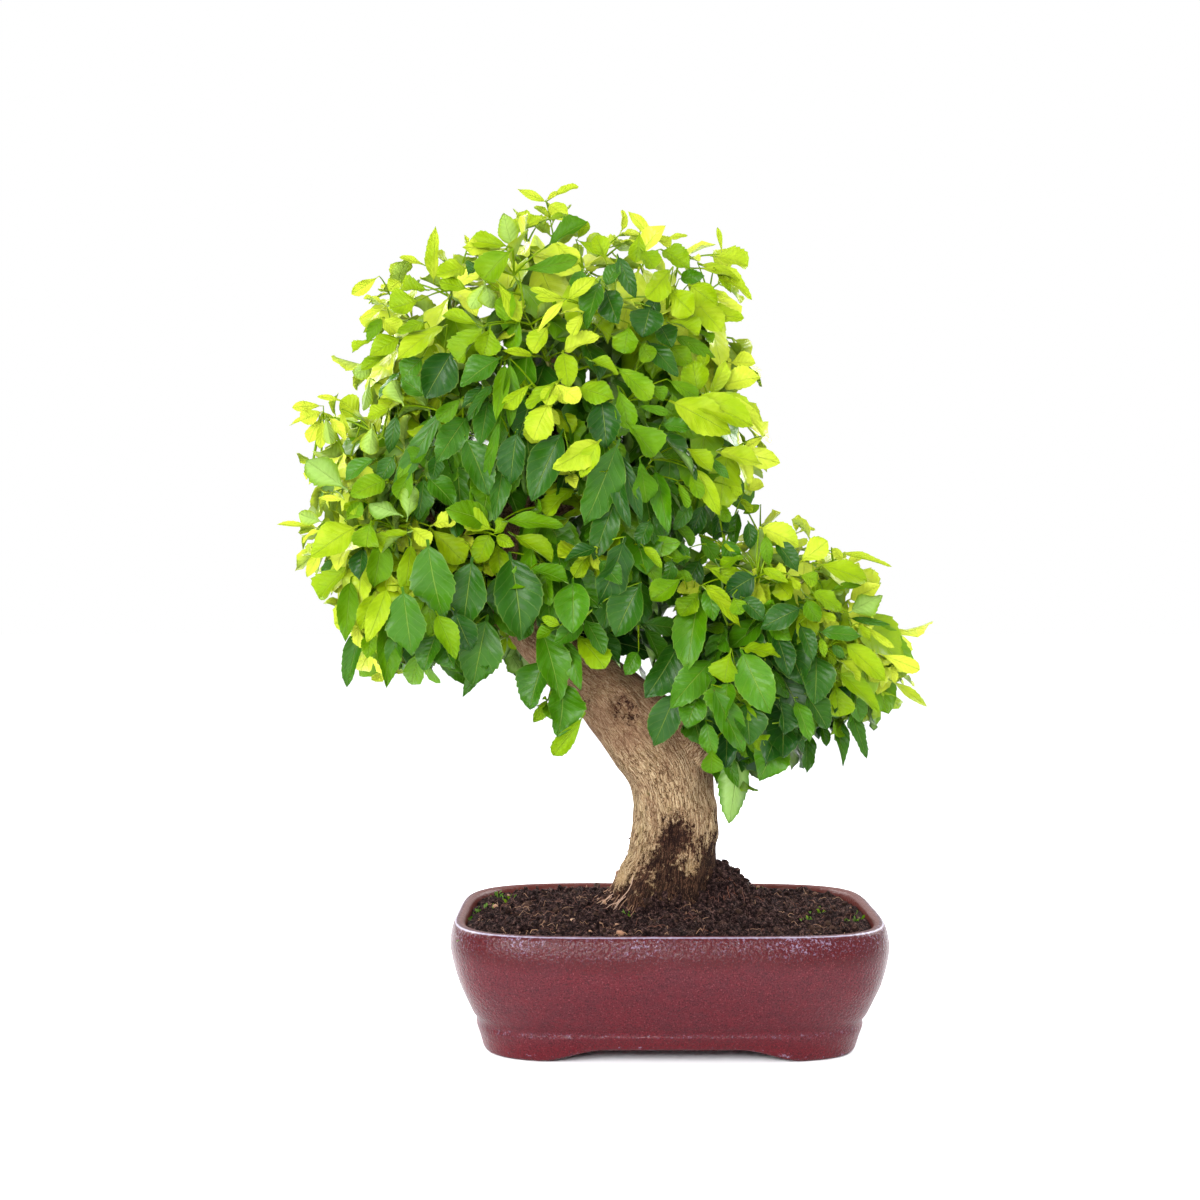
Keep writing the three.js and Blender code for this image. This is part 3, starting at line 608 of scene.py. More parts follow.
def make_pot(material):
    section = smooth_line(POT_SECTION, 2 * len(POT_SECTION) - 1)
    rings = []
    for inset, height in section:
        x, y = even_outline(inset, POT_SIDES)
        arch = np.maximum(arch_height(x, ARCH["front"]), arch_height(y, ARCH["side"]))
        lifted = max(height, 0.0) + arch * max(0.0, 1 - height / FOOT_TOP)
        rings.append(np.stack([x, y, lifted], axis=1))
    rings = np.array(rings)
    # Slightly uneven by hand: the wall sways in and out and the lip up and down
    sway = noise(rings, (60, 60, 40), 3) * ease(section[:, 1] / 20)[:, None]
    rings[..., :2] *= 1 + UNEVEN["wall"] * sway[..., None]
    high = ease((section[:, 1] - 45) / 28)[:, None]
    rings[..., 2] += UNEVEN["lip"] * noise(rings, (55, 55, 200), 4) * high
    place = np.arange(len(section)) / 2
    values = {
        "height": section[:, 1],
        "inside": ease((place - LIP_TURN + 0.5) / 1.5),
        # rim places the lip's pale glaze break, which also holds a painted highlight
        "rim": np.exp(-((place - LIP_TURN + 1.0) ** 2) / 0.30),
    }
    values = {name: np.repeat(value, POT_SIDES) for name, value in values.items()}
    sheaf = Sheaf(*values)
    sheaf.add(rings, capped(*rings.shape[:2]), **values)
    pot = sheaf.piece("pot_glazed", material, "pot_glaze")
    for x in (DRAIN["x"], -DRAIN["x"]):
        drill_drain(pot, x)
    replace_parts(pot, "pot")


def drill_drain(pot, x):
    """A round drain hole through the pot's floor."""
    drill = Sheaf()
    add_tube(drill, [(x, 0, 0, DRAIN["radius"]), (x, 0, 30, DRAIN["radius"])], 40)
    cutter = drill.piece("drill", pot.data.materials[0], "pot_glaze")
    cut = pot.modifiers.new("drain", "BOOLEAN")
    cut.operation = "DIFFERENCE"
    cut.solver = "EXACT"
    cut.object = cutter
    graph = bpy.context.evaluated_depsgraph_get()
    dressed = bpy.data.meshes.new_from_object(pot.evaluated_get(graph))
    pot.modifiers.clear()
    pot.data = dressed
    bpy.data.objects.remove(cutter)


# Wood

# The trunk's line and the branch on its right: x, y, z, radius
TRUNK_LINE = [
    (2, 0, 32, 15), (1, 0, 58, 23), (0, 0, 76, 29), (2, 0, 90, 27.5), (4, 0, 108, 26),
    (5, 0, 124, 24.5), (3.5, 0, 140, 24), (0, 0, 156, 25), (-10, 0, 172, 25.5), (-24, -1, 189, 23),
    (-42, -2, 206, 19.5), (-61, -3, 221, 16.5), (-78, -3, 236, 14.5), (-90, -1, 252, 13),
    (-95, 2, 272, 12), (-92, 4, 298, 10.5), (-84, 3, 328, 9), (-76, 0, 362, 7.5), (-68, -2, 398, 6),
    (-62, 0, 432, 4),
]
BRANCH_LINE = [
    (-2, 0, 150, 18), (10, 2, 170, 17.5), (24, 4, 188, 14.5), (42, 4, 206, 11), (62, 1, 222, 8.5),
    (84, -2, 234, 6.5), (104, -3, 242, 4.5),
]
# Each limb leaves the wood at its first point, bends towards the second and ends at the third
LIMBS = [
    ((-78, -3, 236), (-116, -12, 250), (-150, -6, 266)),
    ((-95, 2, 272), (-128, 6, 300), (-164, 2, 324)),
    ((-84, 3, 328), (-108, 8, 364), (-138, 4, 396)),
    ((-92, 4, 298), (-50, 8, 322), (2, 6, 346)),
    ((-76, 0, 362), (-42, 4, 388), (0, 4, 410)),
    ((-92, 4, 298), (-86, 44, 326), (-72, 60, 366)),
    ((-88, 3, 312), (-70, -40, 338), (-62, -62, 372)),
    ((-90, -1, 252), (-64, -18, 264), (-34, -30, 280)),
    ((-95, 2, 272), (-116, 34, 276), (-128, 52, 284)),
    ((-84, 3, 328), (-44, 40, 342), (-10, 52, 352)),
    ((-88, 3, 312), (-112, -36, 318), (-134, -54, 322)),
    ((62, 1, 222), (64, -22, 242), (70, -38, 262)),
    ((62, 1, 222), (72, 26, 240), (82, 38, 258)),
]
LIMB = {"base": 5.5, "end": 2.8, "twig": 1.3, "carriers": (0.4, 0.6, 0.8, 0.97)}
ROOTS = {"count": 6, "flare": 0.34, "body": 0.35, "sharp": 0.7, "from": 60, "to": 112, "turn": 0.5}
WAVE = {"count": 3, "share": 0.035}

# Marks on the trunk: place, width, how far the rim stands out, how deep the middle is, and how much
# darker and paler they are round the middle
KNOTS = [
    ((-29, -23, 196), 9.5, 2.8, 2.0, 0.37, 0.0), ((-21, -23, 191), 5.5, 1.4, 1.8, 0.52, 0.0),
    ((-17, -24, 185), 2, 0.3, 0.0, 0.0, 1.0), ((-48, -19, 196), 5, 1.3, 1.2, 0.5, 0.0),
    ((5, -25, 119), 9.5, 0.9, 2.6, 1.25, 0.0), ((-3, -25, 107), 9, 0.5, 1.2, 0.6, 0.0),
    ((-10, -27, 89), 5, 1.2, -0.6, -1.0, 0.7), ((13, -25, 101), 6, 2.4, 0.2, -0.7, 0.3),
    ((-25, -12, 92), 9, 3.4, -2.0, -1.1, 0.75), ((28, -6, 127), 9, 2.4, 0.6, 0.35, 0.0),
    ((-15, -17, 135), 6, 1.4, 0.4, 0.3, 0.0), ((12, 24, 150), 9, 2.2, 2.0, 0.4, 0.0),
    ((-4, 27, 104), 11, 2.0, 2.6, 0.5, 0.0),
]
GREEN_BUD = (-13, -21, 143)
STAIN = {"height": 93, "right": 13, "left": 6, "strength": 1.5, "fade": 9}
# Height, size and seed of the wood's swellings, and of the furrows in its unrolled bark
SWELLINGS = ((1.3, 24, 7), (0.55, 8.5, 8))
FURROWS = (0.22, 2.6, 9)
COLLAR = {"swell": 4.5, "reach": 13}  # where the branch and the trunk swell to meet
# Rows of the smooth lines, and the stretches of them that are built or met
WOOD = {"trunk_rows": 700, "branch_rows": 150, "limb_rows": 30, "twig_rows": 7}
LOW_TRUNK, HIGH_TRUNK, FORK = slice(None, 430, 2), slice(420, None, 6), slice(100, 330)
BRANCH_FROM = 40


def flare(height, angle):
    share = 1 - ease((height - ROOTS["from"]) / (ROOTS["to"] - ROOTS["from"]))
    ridge = np.maximum(0, np.cos(ROOTS["count"] * angle + ROOTS["turn"])) ** ROOTS["sharp"]
    return 1 + ROOTS["flare"] * share * (ROOTS["body"] + (1 - ROOTS["body"]) * ridge)


def trunk_shape(heights, angle):
    rows = np.arange(len(TRUNK_LINE))
    index = np.interp(heights, [row[2] for row in TRUNK_LINE], rows)
    wave = 1 + WAVE["share"] * np.sin(WAVE["count"] * angle[None, :] + index[:, None])
    return flare(heights[:, None], angle[None, :]) * wave


def distance_to(line, points):
    """How far points lie outside the tube along line."""
    apart = np.linalg.norm(points[..., None, :] - line[:, :3], axis=-1) - line[:, 3]
    return apart.min(axis=-1)


def soiled(points):
    """Where soil has stained the trunk's foot, higher on its right."""
    x, z = points[..., 0], points[..., 2]
    right, left = STAIN["right"] * ease((x - 8) / 18), STAIN["left"] * ease((-x - 12) / 14)
    above = np.maximum(z - (STAIN["height"] + right - left), 0)
    return STAIN["strength"] * np.exp(-above / STAIN["fade"])


def add_wood(sheaf, line, sides, seed, detail=1.0, shape=None, meets=None, worn=0.0):
    """A barked tube. shape scales its radius, and it swells into a collar at the line it meets."""
    points, outward, angle, travelled = tube_grid(line, sides)
    radius = line[:, 3]
    if shape is not None:
        grown = radius[:, None] * shape(line[:, 2], angle)
        points = line[:, None, :3] + outward * grown[..., None]
    if meets is not None:
        gap = distance_to(meets, points)
        swell = COLLAR["swell"] * ease(1 - np.abs(gap) / COLLAR["reach"])
        points = points + outward * swell[..., None]
    turn_x = radius[:, None] * np.cos(angle)
    turn_y = radius[:, None] * np.sin(angle)
    length = np.broadcast_to(travelled[:, None] + 100 * seed, turn_x.shape)
    unrolled = np.stack([turn_x, turn_y, length * 0.2], axis=-1)
    lift = sum(high * noise(points, cell, seed + k) for high, cell, k in SWELLINGS)
    high, cell, k = FURROWS
    lift += high * noise(unrolled, cell, seed + k)
    stain, pale = soiled(points) + worn, np.zeros(turn_x.shape)
    for place, wide, out, deep, dark, bright in KNOTS:
        offset = (points - np.array(place)) * np.array([1, 1, 0.75])
        apart = np.linalg.norm(offset, axis=-1) / wide
        ring = np.exp(-((apart - 0.75) ** 2) / 0.16)
        core = np.exp(-(apart**2) / 0.5)
        lift += out * ring - deep * core
        stain = stain + dark * np.exp(-(apart**2) / 0.9)
        pale = pale + bright * core
    red = ease((points[..., 2] - 150) / 40)
    green = np.exp(-(np.linalg.norm(points - np.array(GREEN_BUD), axis=-1) ** 2) / 2.5)
    points = points + outward * (detail * lift)[..., None]
    values = {"turn_x": turn_x, "turn_y": turn_y, "length": length}
    values |= {"stain": np.clip(stain, -1, 1.3), "pale": np.clip(pale, 0, 1), "red": red, "green": green}
    sheaf.add(points, capped(*points.shape[:2]), **values)


def make_wood(shoots, material):
    sheaf = Sheaf("turn_x", "turn_y", "length", "stain", "pale", "red", "green")
    trunk = smooth_line(TRUNK_LINE, WOOD["trunk_rows"])
    branch = smooth_line(BRANCH_LINE, WOOD["branch_rows"])
    outer = branch[BRANCH_FROM:]
    add_wood(sheaf, trunk[LOW_TRUNK], sides=180, seed=5, shape=trunk_shape, meets=outer)
    add_wood(sheaf, trunk[HIGH_TRUNK], sides=56, seed=9, detail=0.5)
    add_wood(sheaf, branch[::2], sides=80, seed=15, detail=0.9, meets=trunk[FORK])
    t = np.linspace(0, 1, WOOD["limb_rows"])
    radius = LIMB["base"] + (LIMB["end"] - LIMB["base"]) * t
    for i, limb in enumerate(LIMBS):
        line = np.column_stack([bezier(*limb, t), radius])
        add_wood(sheaf, line, sides=18, seed=30 + i, detail=0.3, worn=0.35)
    for i, shoot in enumerate(shoots):
        t = np.linspace(0, shoot["start"] + 0.02, WOOD["twig_rows"])
        radius = LIMB["twig"] + (shoot["radius"] - LIMB["twig"]) * t / t[-1]
        line = np.column_stack([shoot["at"](t), radius])
        add_tube(sheaf, line, 5, length=9.0 * i, stain=0.2, green=0.5)
    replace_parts(sheaf.piece("trunk_bark", material, "bark"), "trunk")


# Soil


def soil_height(x, y):
    mound = SOIL["mound"] * np.exp(-(x * x + y * y) / SOIL["spread"] ** 2)
    away = np.hypot(x - HEAP["x"], y - HEAP["y"]) / HEAP["spread"]
    heap = HEAP["rise"] * np.exp(-(away**1.6))
    ridge = RIDGE["rise"] * np.exp(-((np.hypot(x, y) - RIDGE["radius"]) ** 2) / RIDGE["spread"])
    return SOIL["top"] + mound + np.maximum(heap, ridge)


def soil_surface(x, y, share):
    """The crumbly surface. share is 1 at the wall, where it dips a little."""
    points = np.stack([x, y, np.zeros_like(x)], axis=-1)
    crumbs = 1.9 * noise(points, 9, 1) + 1.5 * (1 - 2 * np.abs(noise(points, 4.6, 2)))
    crumbs += 1.1 * (1 - 2 * np.abs(noise(points, 2.5, 3))) + 0.5 * noise(points, 1.3, 4)
    edge = ease((share - 0.94) / 0.06)
    return soil_height(x, y) + crumbs * (1 - 0.5 * edge) - 1.2 * edge


def make_soil(material):
    across, deep = SOIL_GRID
    a, b = np.meshgrid(np.linspace(-1, 1, across), np.linspace(-1, 1, deep))
    power = POT["roundness"]
    largest = np.maximum(np.abs(a), np.abs(b))
    reach = (np.abs(a) ** power + np.abs(b) ** power) ** (1 / power)
    pull = np.divide(largest, reach, out=np.ones_like(a), where=reach > 0)
    half = np.array([POT["half_length"], POT["half_width"]])
    x, y = a * pull * (half[0] - SOIL["inset"]), b * pull * (half[1] - SOIL["inset"])
    top = np.stack([x, y, soil_surface(x, y, largest)], axis=-1)
    index = np.arange(across * deep).reshape(deep, across)
    border = np.concatenate([index[0, :-1], index[:-1, -1], index[-1, :0:-1], index[:0:-1, 0]])
    rows, wall = [border], []
    for inset, height in SOIL_SIDES:
        ring = top.reshape(-1, 3)[border].copy()
        ring[:, :2] *= (half - inset) / (half - SOIL["inset"])
        ring[:, 2] = height
        rows.append(across * deep + len(wall) * len(border) + np.arange(len(border)))
        wall.append(ring)
    faces = grid_faces(deep, across, closed=False)
    for upper, lower in zip(rows, rows[1:]):
        ahead, under_ahead = np.roll(upper, -1), np.roll(lower, -1)
        faces.extend(np.stack([ahead, upper, lower, under_ahead], axis=1).tolist())
    faces.append(rows[-1][::-1].tolist())
    sheaf = Sheaf("tone")
    sheaf.add(np.vstack([top.reshape(-1, 3), *wall]), faces)
    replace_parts(sheaf.piece("soil_bed", material, "potting_soil"), "soil")


def lump_shape():
    """The twelve points and twenty faces of the regular solid that crumbs are pushed out of."""
    gold = (1 + 5**0.5) / 2
    signs = [(s, t) for s in (-1, 1) for t in (-1, 1)]
    points = [(s, t * gold, 0) for s, t in signs]
    points += [(0, s, t * gold) for s, t in signs]
    points += [(t * gold, 0, s) for s, t in signs]
    points = np.array(points, float) / math.hypot(1, gold)
    faces = []
    for i, j, k in itertools.combinations(range(12), 3):
        a, b, c = points[[i, j, k]]
        if max(np.linalg.norm(a - b), np.linalg.norm(b - c), np.linalg.norm(a - c)) < 1.1:
            outward = np.cross(b - a, c - a) @ (a + b + c) > 0
            faces.append([i, j, k] if outward else [i, k, j])
    return points, faces


LUMP_POINTS, LUMP_FACES = lump_shape()


def add_lump(sheaf, rng, place, size, tone):
    """A crumb or a pebble."""
    scale = size * rng.uniform(0.6, 1.25, 3)
    axes = np.linalg.qr(rng.normal(size=(3, 3)))[0]
    if np.linalg.det(axes) < 0:
        axes[0] *= -1
    points = (LUMP_POINTS * rng.uniform(0.78, 1.15, (12, 1)) * scale) @ axes + place
    sheaf.add(points, LUMP_FACES, tone=tone)


def soil_share(x, y):
    """How near to the wall a place on the soil is: 0 in the middle, 1 at the wall."""
    a = abs(x) / (POT["half_length"] - SOIL["inset"])
    b = abs(y) / (POT["half_width"] - SOIL["inset"])
    return (a ** POT["roundness"] + b ** POT["roundness"]) ** (1 / POT["roundness"])


def height_at(x, y):
    share = np.array(soil_share(x, y), float)
    return float(soil_surface(np.array(x, float), np.array(y, float), share))


# Crumbs on the heap: their share, how far they spread, and the ring of those round the trunk
ON_HEAP = {"share": 0.55, "wide": 0.45, "deep": 11, "ring": (31, 4)}
TRUNK_CLEAR = 25


def spot_on_soil(rng, limit=0.95):
    """A random place on the soil, clear of the trunk."""
    while True:
        x = rng.uniform(-1, 1) * POT["half_length"]
        y = rng.uniform(-1, 1) * POT["half_width"]
        if soil_share(x, y) < limit and math.hypot(x, y) > TRUNK_CLEAR:
            return x, y


def spot_on_heap(rng):
    """A random place on the heap and on the collar of soil round the trunk's foot."""
    if rng.random() < ON_HEAP["share"]:
        x = HEAP["x"] + rng.normal(0, ON_HEAP["wide"]) * HEAP["spread"]
        return x, HEAP["y"] + rng.normal(0, ON_HEAP["deep"])
    angle, out = rng.uniform(0, 2 * math.pi), rng.normal(*ON_HEAP["ring"])
    return out * math.cos(angle), out * math.sin(angle)


# Crumbs on the bed and on the heap. size is the least, how much more and how rare that is, and lift
# and pale are how high they lie and how pale they can be
CRUMBS = [
    {"spot": spot_on_soil, "count": 1500, "size": (0.7, 2.1, 3), "lift": 0.3, "pale": 0.3},
    {"spot": spot_on_heap, "count": 1100, "size": (0.8, 2.0, 2), "lift": 0.5, "pale": 0.2},
]
PEBBLES, FIBRES, HEAP_FIBRES = 26, 700, 140


def make_litter(material, grit):
    """Crumbs, pebbles and root fibres that lie on the soil."""
    rng = np.random.default_rng(SEEDS["litter"])
    crumbs = Sheaf("tone")
    for kind in CRUMBS:
        least, more, power = kind["size"]
        for _ in range(kind["count"]):
            x, y = kind["spot"](rng)
            size = least + more * rng.random() ** power
            place = (x, y, height_at(x, y) + kind["lift"] * size)
            add_lump(crumbs, rng, place, size, kind["pale"] * rng.random() ** 4)
    crumbs.piece("soil_crumbs", material, "potting_soil", smooth=False)

    small = Sheaf("tone")
    for _ in range(PEBBLES):
        x, y = spot_on_soil(rng)
        size = rng.uniform(1.1, 2.6)
        add_lump(small, rng, (x, y, height_at(x, y) + 0.2 * size), size, rng.uniform(0.45, 0.8))
    for _ in range(FIBRES):
        x, y = spot_on_soil(rng)
        tone = rng.choice([0.0, 0.0, 0.08, 0.2, 0.6])
        add_fibre(small, rng, x, y, rng.uniform(3, 13), rng.uniform(0.09, 0.2), tone)
    for _ in range(HEAP_FIBRES):
        x, y = spot_on_heap(rng)
        length, radius = rng.uniform(4, 12), rng.uniform(0.10, 0.2)
        add_fibre(small, rng, x, y, length, radius, rng.choice([0.0, 0.1, 0.35]))
    small.piece("soil_grit", grit, "potting_soil")


def add_fibre(sheaf, rng, x, y, length, radius, tone):
    """A root fibre that lies in loose bends on the soil."""
    heading, turn = rng.uniform(0, 2 * math.pi), rng.uniform(-0.25, 0.25)
    steps, line = 6, []
    for k in range(steps):
        lift = 0.4 + 1.2 * math.sin(math.pi * k / (steps - 1)) * rng.uniform(0.2, 1.2)
        line.append((x, y, height_at(x, y) + lift, radius))
        x += length / steps * math.cos(heading)
        y += length / steps * math.sin(heading)
        heading += turn + rng.uniform(-0.35, 0.35)
    if all(soil_share(p[0], p[1]) < 0.97 for p in line):
        add_tube(sheaf, line, 3, tone=tone)


# The ranges that rootlets and stubs are drawn from
ROOTLETS = {"count": 60, "out": (29, 33), "top": (80, 98), "reach": (5, 15), "sway": (-5, 5)}
ROOTLETS["around"] = (math.pi * 0.9, math.pi * 1.36)
STUBS = {"count": 34, "height": (86, 118), "reach": (1, 4), "dip": (-2, 5), "bend": (-1.5, 1.5)}


def make_fine_roots(material):
    """Thin pale roots at the trunk's left foot, and dark stubs of root up its left edge."""
    rng = np.random.default_rng(SEEDS["fine_roots"])
    roots = Sheaf("tone")
    for _ in range(ROOTLETS["count"]):
        drawn = [rng.uniform(*ROOTLETS[key]) for key in ("around", "out", "top", "reach", "sway")]
        around, out, top, reach, sway = drawn
        line = []
        for k in range(8):
            t = k / 7
            far = out - 2 + reach * t**1.3
            px = far * math.cos(around) + sway * t * math.sin(around)
            py = far * math.sin(around) - sway * t * math.cos(around)
            drop = top - (top - BED) * t**0.8 + 1.5 * math.sin(5 * t + around)
            line.append((px, py, max(height_at(px, py) + 0.2, drop), 0.36 - 0.2 * t))
        add_tube(roots, line, 5, tone=rng.choice([0.1, 0.6, 0.8, 0.95]))
    for _ in range(STUBS["count"]):
        height, reach, dip, bend = (rng.uniform(*STUBS[key]) for key in ("height", "reach", "dip", "bend"))
        x0 = -21.0 - 0.13 * (120 - height)
        line = [(x0 + 1 - reach * t, bend * t, height - dip * t * t, 0.6 - 0.4 * t) for t in (0, 0.5, 1)]
        add_tube(roots, line, 4, tone=rng.uniform(0.0, 0.1))
    roots.piece("fine_roots", material, "bark")


# Moss sprouts on the soil, as pixels of the photograph
MOSS = [
    (499, 887), (506, 891), (469, 907), (476, 903), (486, 899), (471, 924), (626, 913), (631, 910),
    (665, 906), (673, 904), (602, 876), (741, 872), (756, 881), (764, 882), (809, 914), (822, 908),
    (851, 912), (860, 910),
]
MOSS_BLADES = 8


def on_soil(pixel):
    """The place on the soil that a pixel of the photograph shows."""
    _, y, z = CAMERA["place"]
    down = (pixel[1] - PHOTO["middle"]) / PHOTO["focal"]
    depth = y + (z - BED) / down
    point = seen_at(pixel, depth)
    limit = POT["half_width"] - SOIL["inset"] - 4
    return point[0], float(np.clip(point[1], -limit, limit))


def make_moss(material):
    """Tufts of small green blades."""
    rng = np.random.default_rng(SEEDS["moss"])
    moss = Sheaf(*LEAF_VALUES)
    for pixel in MOSS:
        x0, y0 = on_soil(pixel)
        for _ in range(MOSS_BLADES):
            x, y = x0 + rng.normal(0, 2.4), y0 + rng.normal(0, 2.0)
            base = np.array([x, y, height_at(x, y)])
            direction = unit(np.array([rng.normal(0, 0.7), rng.normal(0, 0.7), 1.0]))
            face = unit(np.cross(direction, rng.normal(size=3)))
            length = rng.uniform(2.0, 4.2)
            look = {"length": length, "width": length * 0.4, "droop": 0.7, "fold": 0.3}
            add_leaf(moss, rng, "plain", base, direction, face, tone=rng.uniform(0.4, 0.7), **look)
    moss.piece("moss", material, "young_leaf")


# Leaves

# The stalk's share of a blade's length, and its half-width as a share of the blade's width
STALK = {"share": 0.09, "half": 0.035}
# The rows of a blade besides its teeth, and its columns from edge to edge
INNER = 0.55
DETAILED = {"rows": [0, STALK["share"], 0.13, 0.19, 0.27, 0.38, 0.94], "columns": [-1, -INNER, 0, INNER, 1]}
SIMPLE = {"rows": [0, 0.1, 0.2, 0.35, 0.93], "columns": [-1, 0, 1]}
# How a blade widens from its stalk and narrows to its tip, how far its teeth stand out and where
BLADES = {
    "broad": {"widens": 0.74, "narrows": 0.96, "tooth": 0.032, "teeth": (0.46, 0.56, 0.66, 0.76, 0.86)},
    "spoon": {"widens": 1.30, "narrows": 0.72, "tooth": 0.038, "teeth": (0.55, 0.66, 0.77, 0.87)},
    "plain": {"widens": 1.0, "narrows": 0.90, "tooth": 0.030, "teeth": (0.60, 0.75)},
}
GRIDS = {"broad": DETAILED, "spoon": DETAILED, "plain": SIMPLE}
LEAF_VALUES = ("along", "across", "under", "tone", "spots")
NOTCH = 0.016  # how far beyond a tooth's tip its notch lies
RELIEF = {"ripple": 0.095, "cup": 0.035}  # of a blade, as shares of its width
THICK = {"midrib": 0.7, "blade": 0.28, "full_length": 45}  # millimetres


def half_width(kind, places):
    """A blade's half-width along it, as a share of its width."""
    shape = BLADES[kind]
    t = np.clip((places - STALK["share"]) / (1 - STALK["share"]), 0, 1)
    widest = shape["widens"] / (shape["widens"] + shape["narrows"])
    rise = (t / widest) ** shape["widens"]
    fall = ((1 - t) / (1 - widest)) ** shape["narrows"]
    return np.maximum(STALK["half"] * (places < 0.5), 0.5 * rise * fall)


def blade_template(kind):
    """A blade's places along and across, half-widths, teeth and faces, shared by its leaves."""
    teeth = BLADES[kind]["teeth"]
    notches = [place + NOTCH for place in teeth]
    stations = np.array(sorted([*GRIDS[kind]["rows"], *teeth, *notches]))
    across = np.array(GRIDS[kind]["columns"])
    half = half_width(kind, stations)
    tooth = np.isin(stations, teeth).astype(float)
    rows, columns = len(stations), len(across)
    top = np.arange(rows * columns).reshape(rows, columns)
    tip = rows * columns
    below = top.copy()
    below[:, 1:-1] = tip + 1 + np.arange(rows * (columns - 2)).reshape(rows, columns - 2)
    faces = []
    for r in range(rows - 1):
        for c in range(columns - 1):
            # Both sheets are split along the same diagonal, so that neither shows through the other
            for sheet, turn in ((top, 1), (below, -1)):
                near, side, far, ahead = sheet[r, c], sheet[r, c + 1], sheet[r + 1, c + 1], sheet[r + 1, c]
                faces.append([near, side, far][::turn])
                faces.append([near, far, ahead][::turn])
    for c in range(columns - 1):
        faces.append([top[-1, c], top[-1, c + 1], tip])
        faces.append([below[-1, c + 1], below[-1, c], tip])
    faces.append(list(top[0, ::-1]) + list(below[0, 1:-1]))
    faces = [[int(i) for i in face] for face in faces]
    made = {"stations": stations, "across": across, "half": half, "tooth": tooth, "faces": faces}
    made["along"] = np.concatenate([np.repeat(stations, columns), [1.0], np.repeat(stations, columns - 2)])
    made["sides"] = np.concatenate([np.tile(across, rows), [0.0], np.tile(across[1:-1], rows)])
    made["under"] = np.concatenate([np.zeros(tip + 1), np.ones(rows * (columns - 2))])
    return made


TEMPLATES = {kind: blade_template(kind) for kind in BLADES}


def add_leaf(sheaf, rng, kind, base, direction, face, length, width, droop, fold, **paint):
    """A blade with its stalk. paint holds its tone, and its spots where it has them.

    droop is how far it bends down along its length, in radians, and fold how far its halves rise
    from the midrib.
    """
    made = TEMPLATES[kind]
    stations, sides = made["stations"], made["across"]
    across = np.cross(direction, face)
    steps = np.append(stations, 1.0)
    bend = droop * steps**1.2
    forward = np.outer(np.cos(bend), direction) - np.outer(np.sin(bend), face)
    normal = np.outer(np.cos(bend), face) + np.outer(np.sin(bend), direction)
    twist = (rng.uniform(-0.35, 0.35) * steps)[:, None]
    sideways = across * np.cos(twist) + normal * np.sin(twist)
    normal = normal * np.cos(twist) - across * np.sin(twist)
    spine = base + np.cumsum(forward * (np.diff(steps, prepend=0) * length)[:, None], axis=0)
    spine = spine + across * (rng.uniform(-0.06, 0.06) * length * steps**2)[:, None]

    blade = np.clip((stations - 0.10) / 0.12, 0, 1)
    tooth = made["tooth"] * BLADES[kind]["tooth"] * rng.uniform(0.6, 1.4)
    offset = sides[None, :] * ((made["half"] + tooth) * width)[:, None]
    waves = np.sin(2 * np.pi * (rng.uniform(1.3, 2.4) * stations + rng.random()))
    ripple = RELIEF["ripple"] * width * waves
    wide = np.abs(offset)
    rise = fold * wide * (0.45 + 1.1 * wide / width)
    rise = rise + (ripple * blade)[:, None] * (sides**2 * np.sign(sides))[None, :]
    rise = rise + RELIEF["cup"] * width * blade[:, None] * (np.abs(sides) == INNER)[None, :]
    points = spine[:-1, None] + sideways[:-1, None] * offset[..., None]
    points = points + normal[:-1, None] * rise[..., None]
    thick = np.where(sides[1:-1] == 0, THICK["midrib"], THICK["blade"])[None, :]
    thick = thick * (2.0 - 1.1 * blade)[:, None] * (0.3 + 0.7 * length / THICK["full_length"])
    below = points[:, 1:-1] - normal[:-1, None] * thick[..., None]
    sheaf.add(
        np.vstack([points.reshape(-1, 3), spine[-1:], below.reshape(-1, 3)]),
        made["faces"],
        along=made["along"],
        across=made["sides"],
        under=made["under"],
        **paint,
    )


# Crown: where the sprays grow, by the same rule as the solids

# The lobes of foliage: centre, radii and how densely they are filled
LOBES = [
    ((-64, 0, 424), (96, 82, 60), 1), ((6, 4, 424), (44, 54, 46), 1), ((-140, 2, 404), (48, 56, 50), 1),
    ((-70, 0, 350), (112, 92, 84), 1.3), ((-164, 0, 314), (58, 70, 64), 1.15),
    ((-138, -6, 252), (58, 68, 48), 1.35), ((16, 4, 352), (42, 66, 56), 1),
    ((-46, -8, 274), (60, 74, 56), 1.1), ((66, -4, 252), (60, 66, 54), 1.35),
    ((108, -2, 226), (36, 46, 40), 1.5), ((50, -12, 204), (50, 56, 42), 1.35),
]
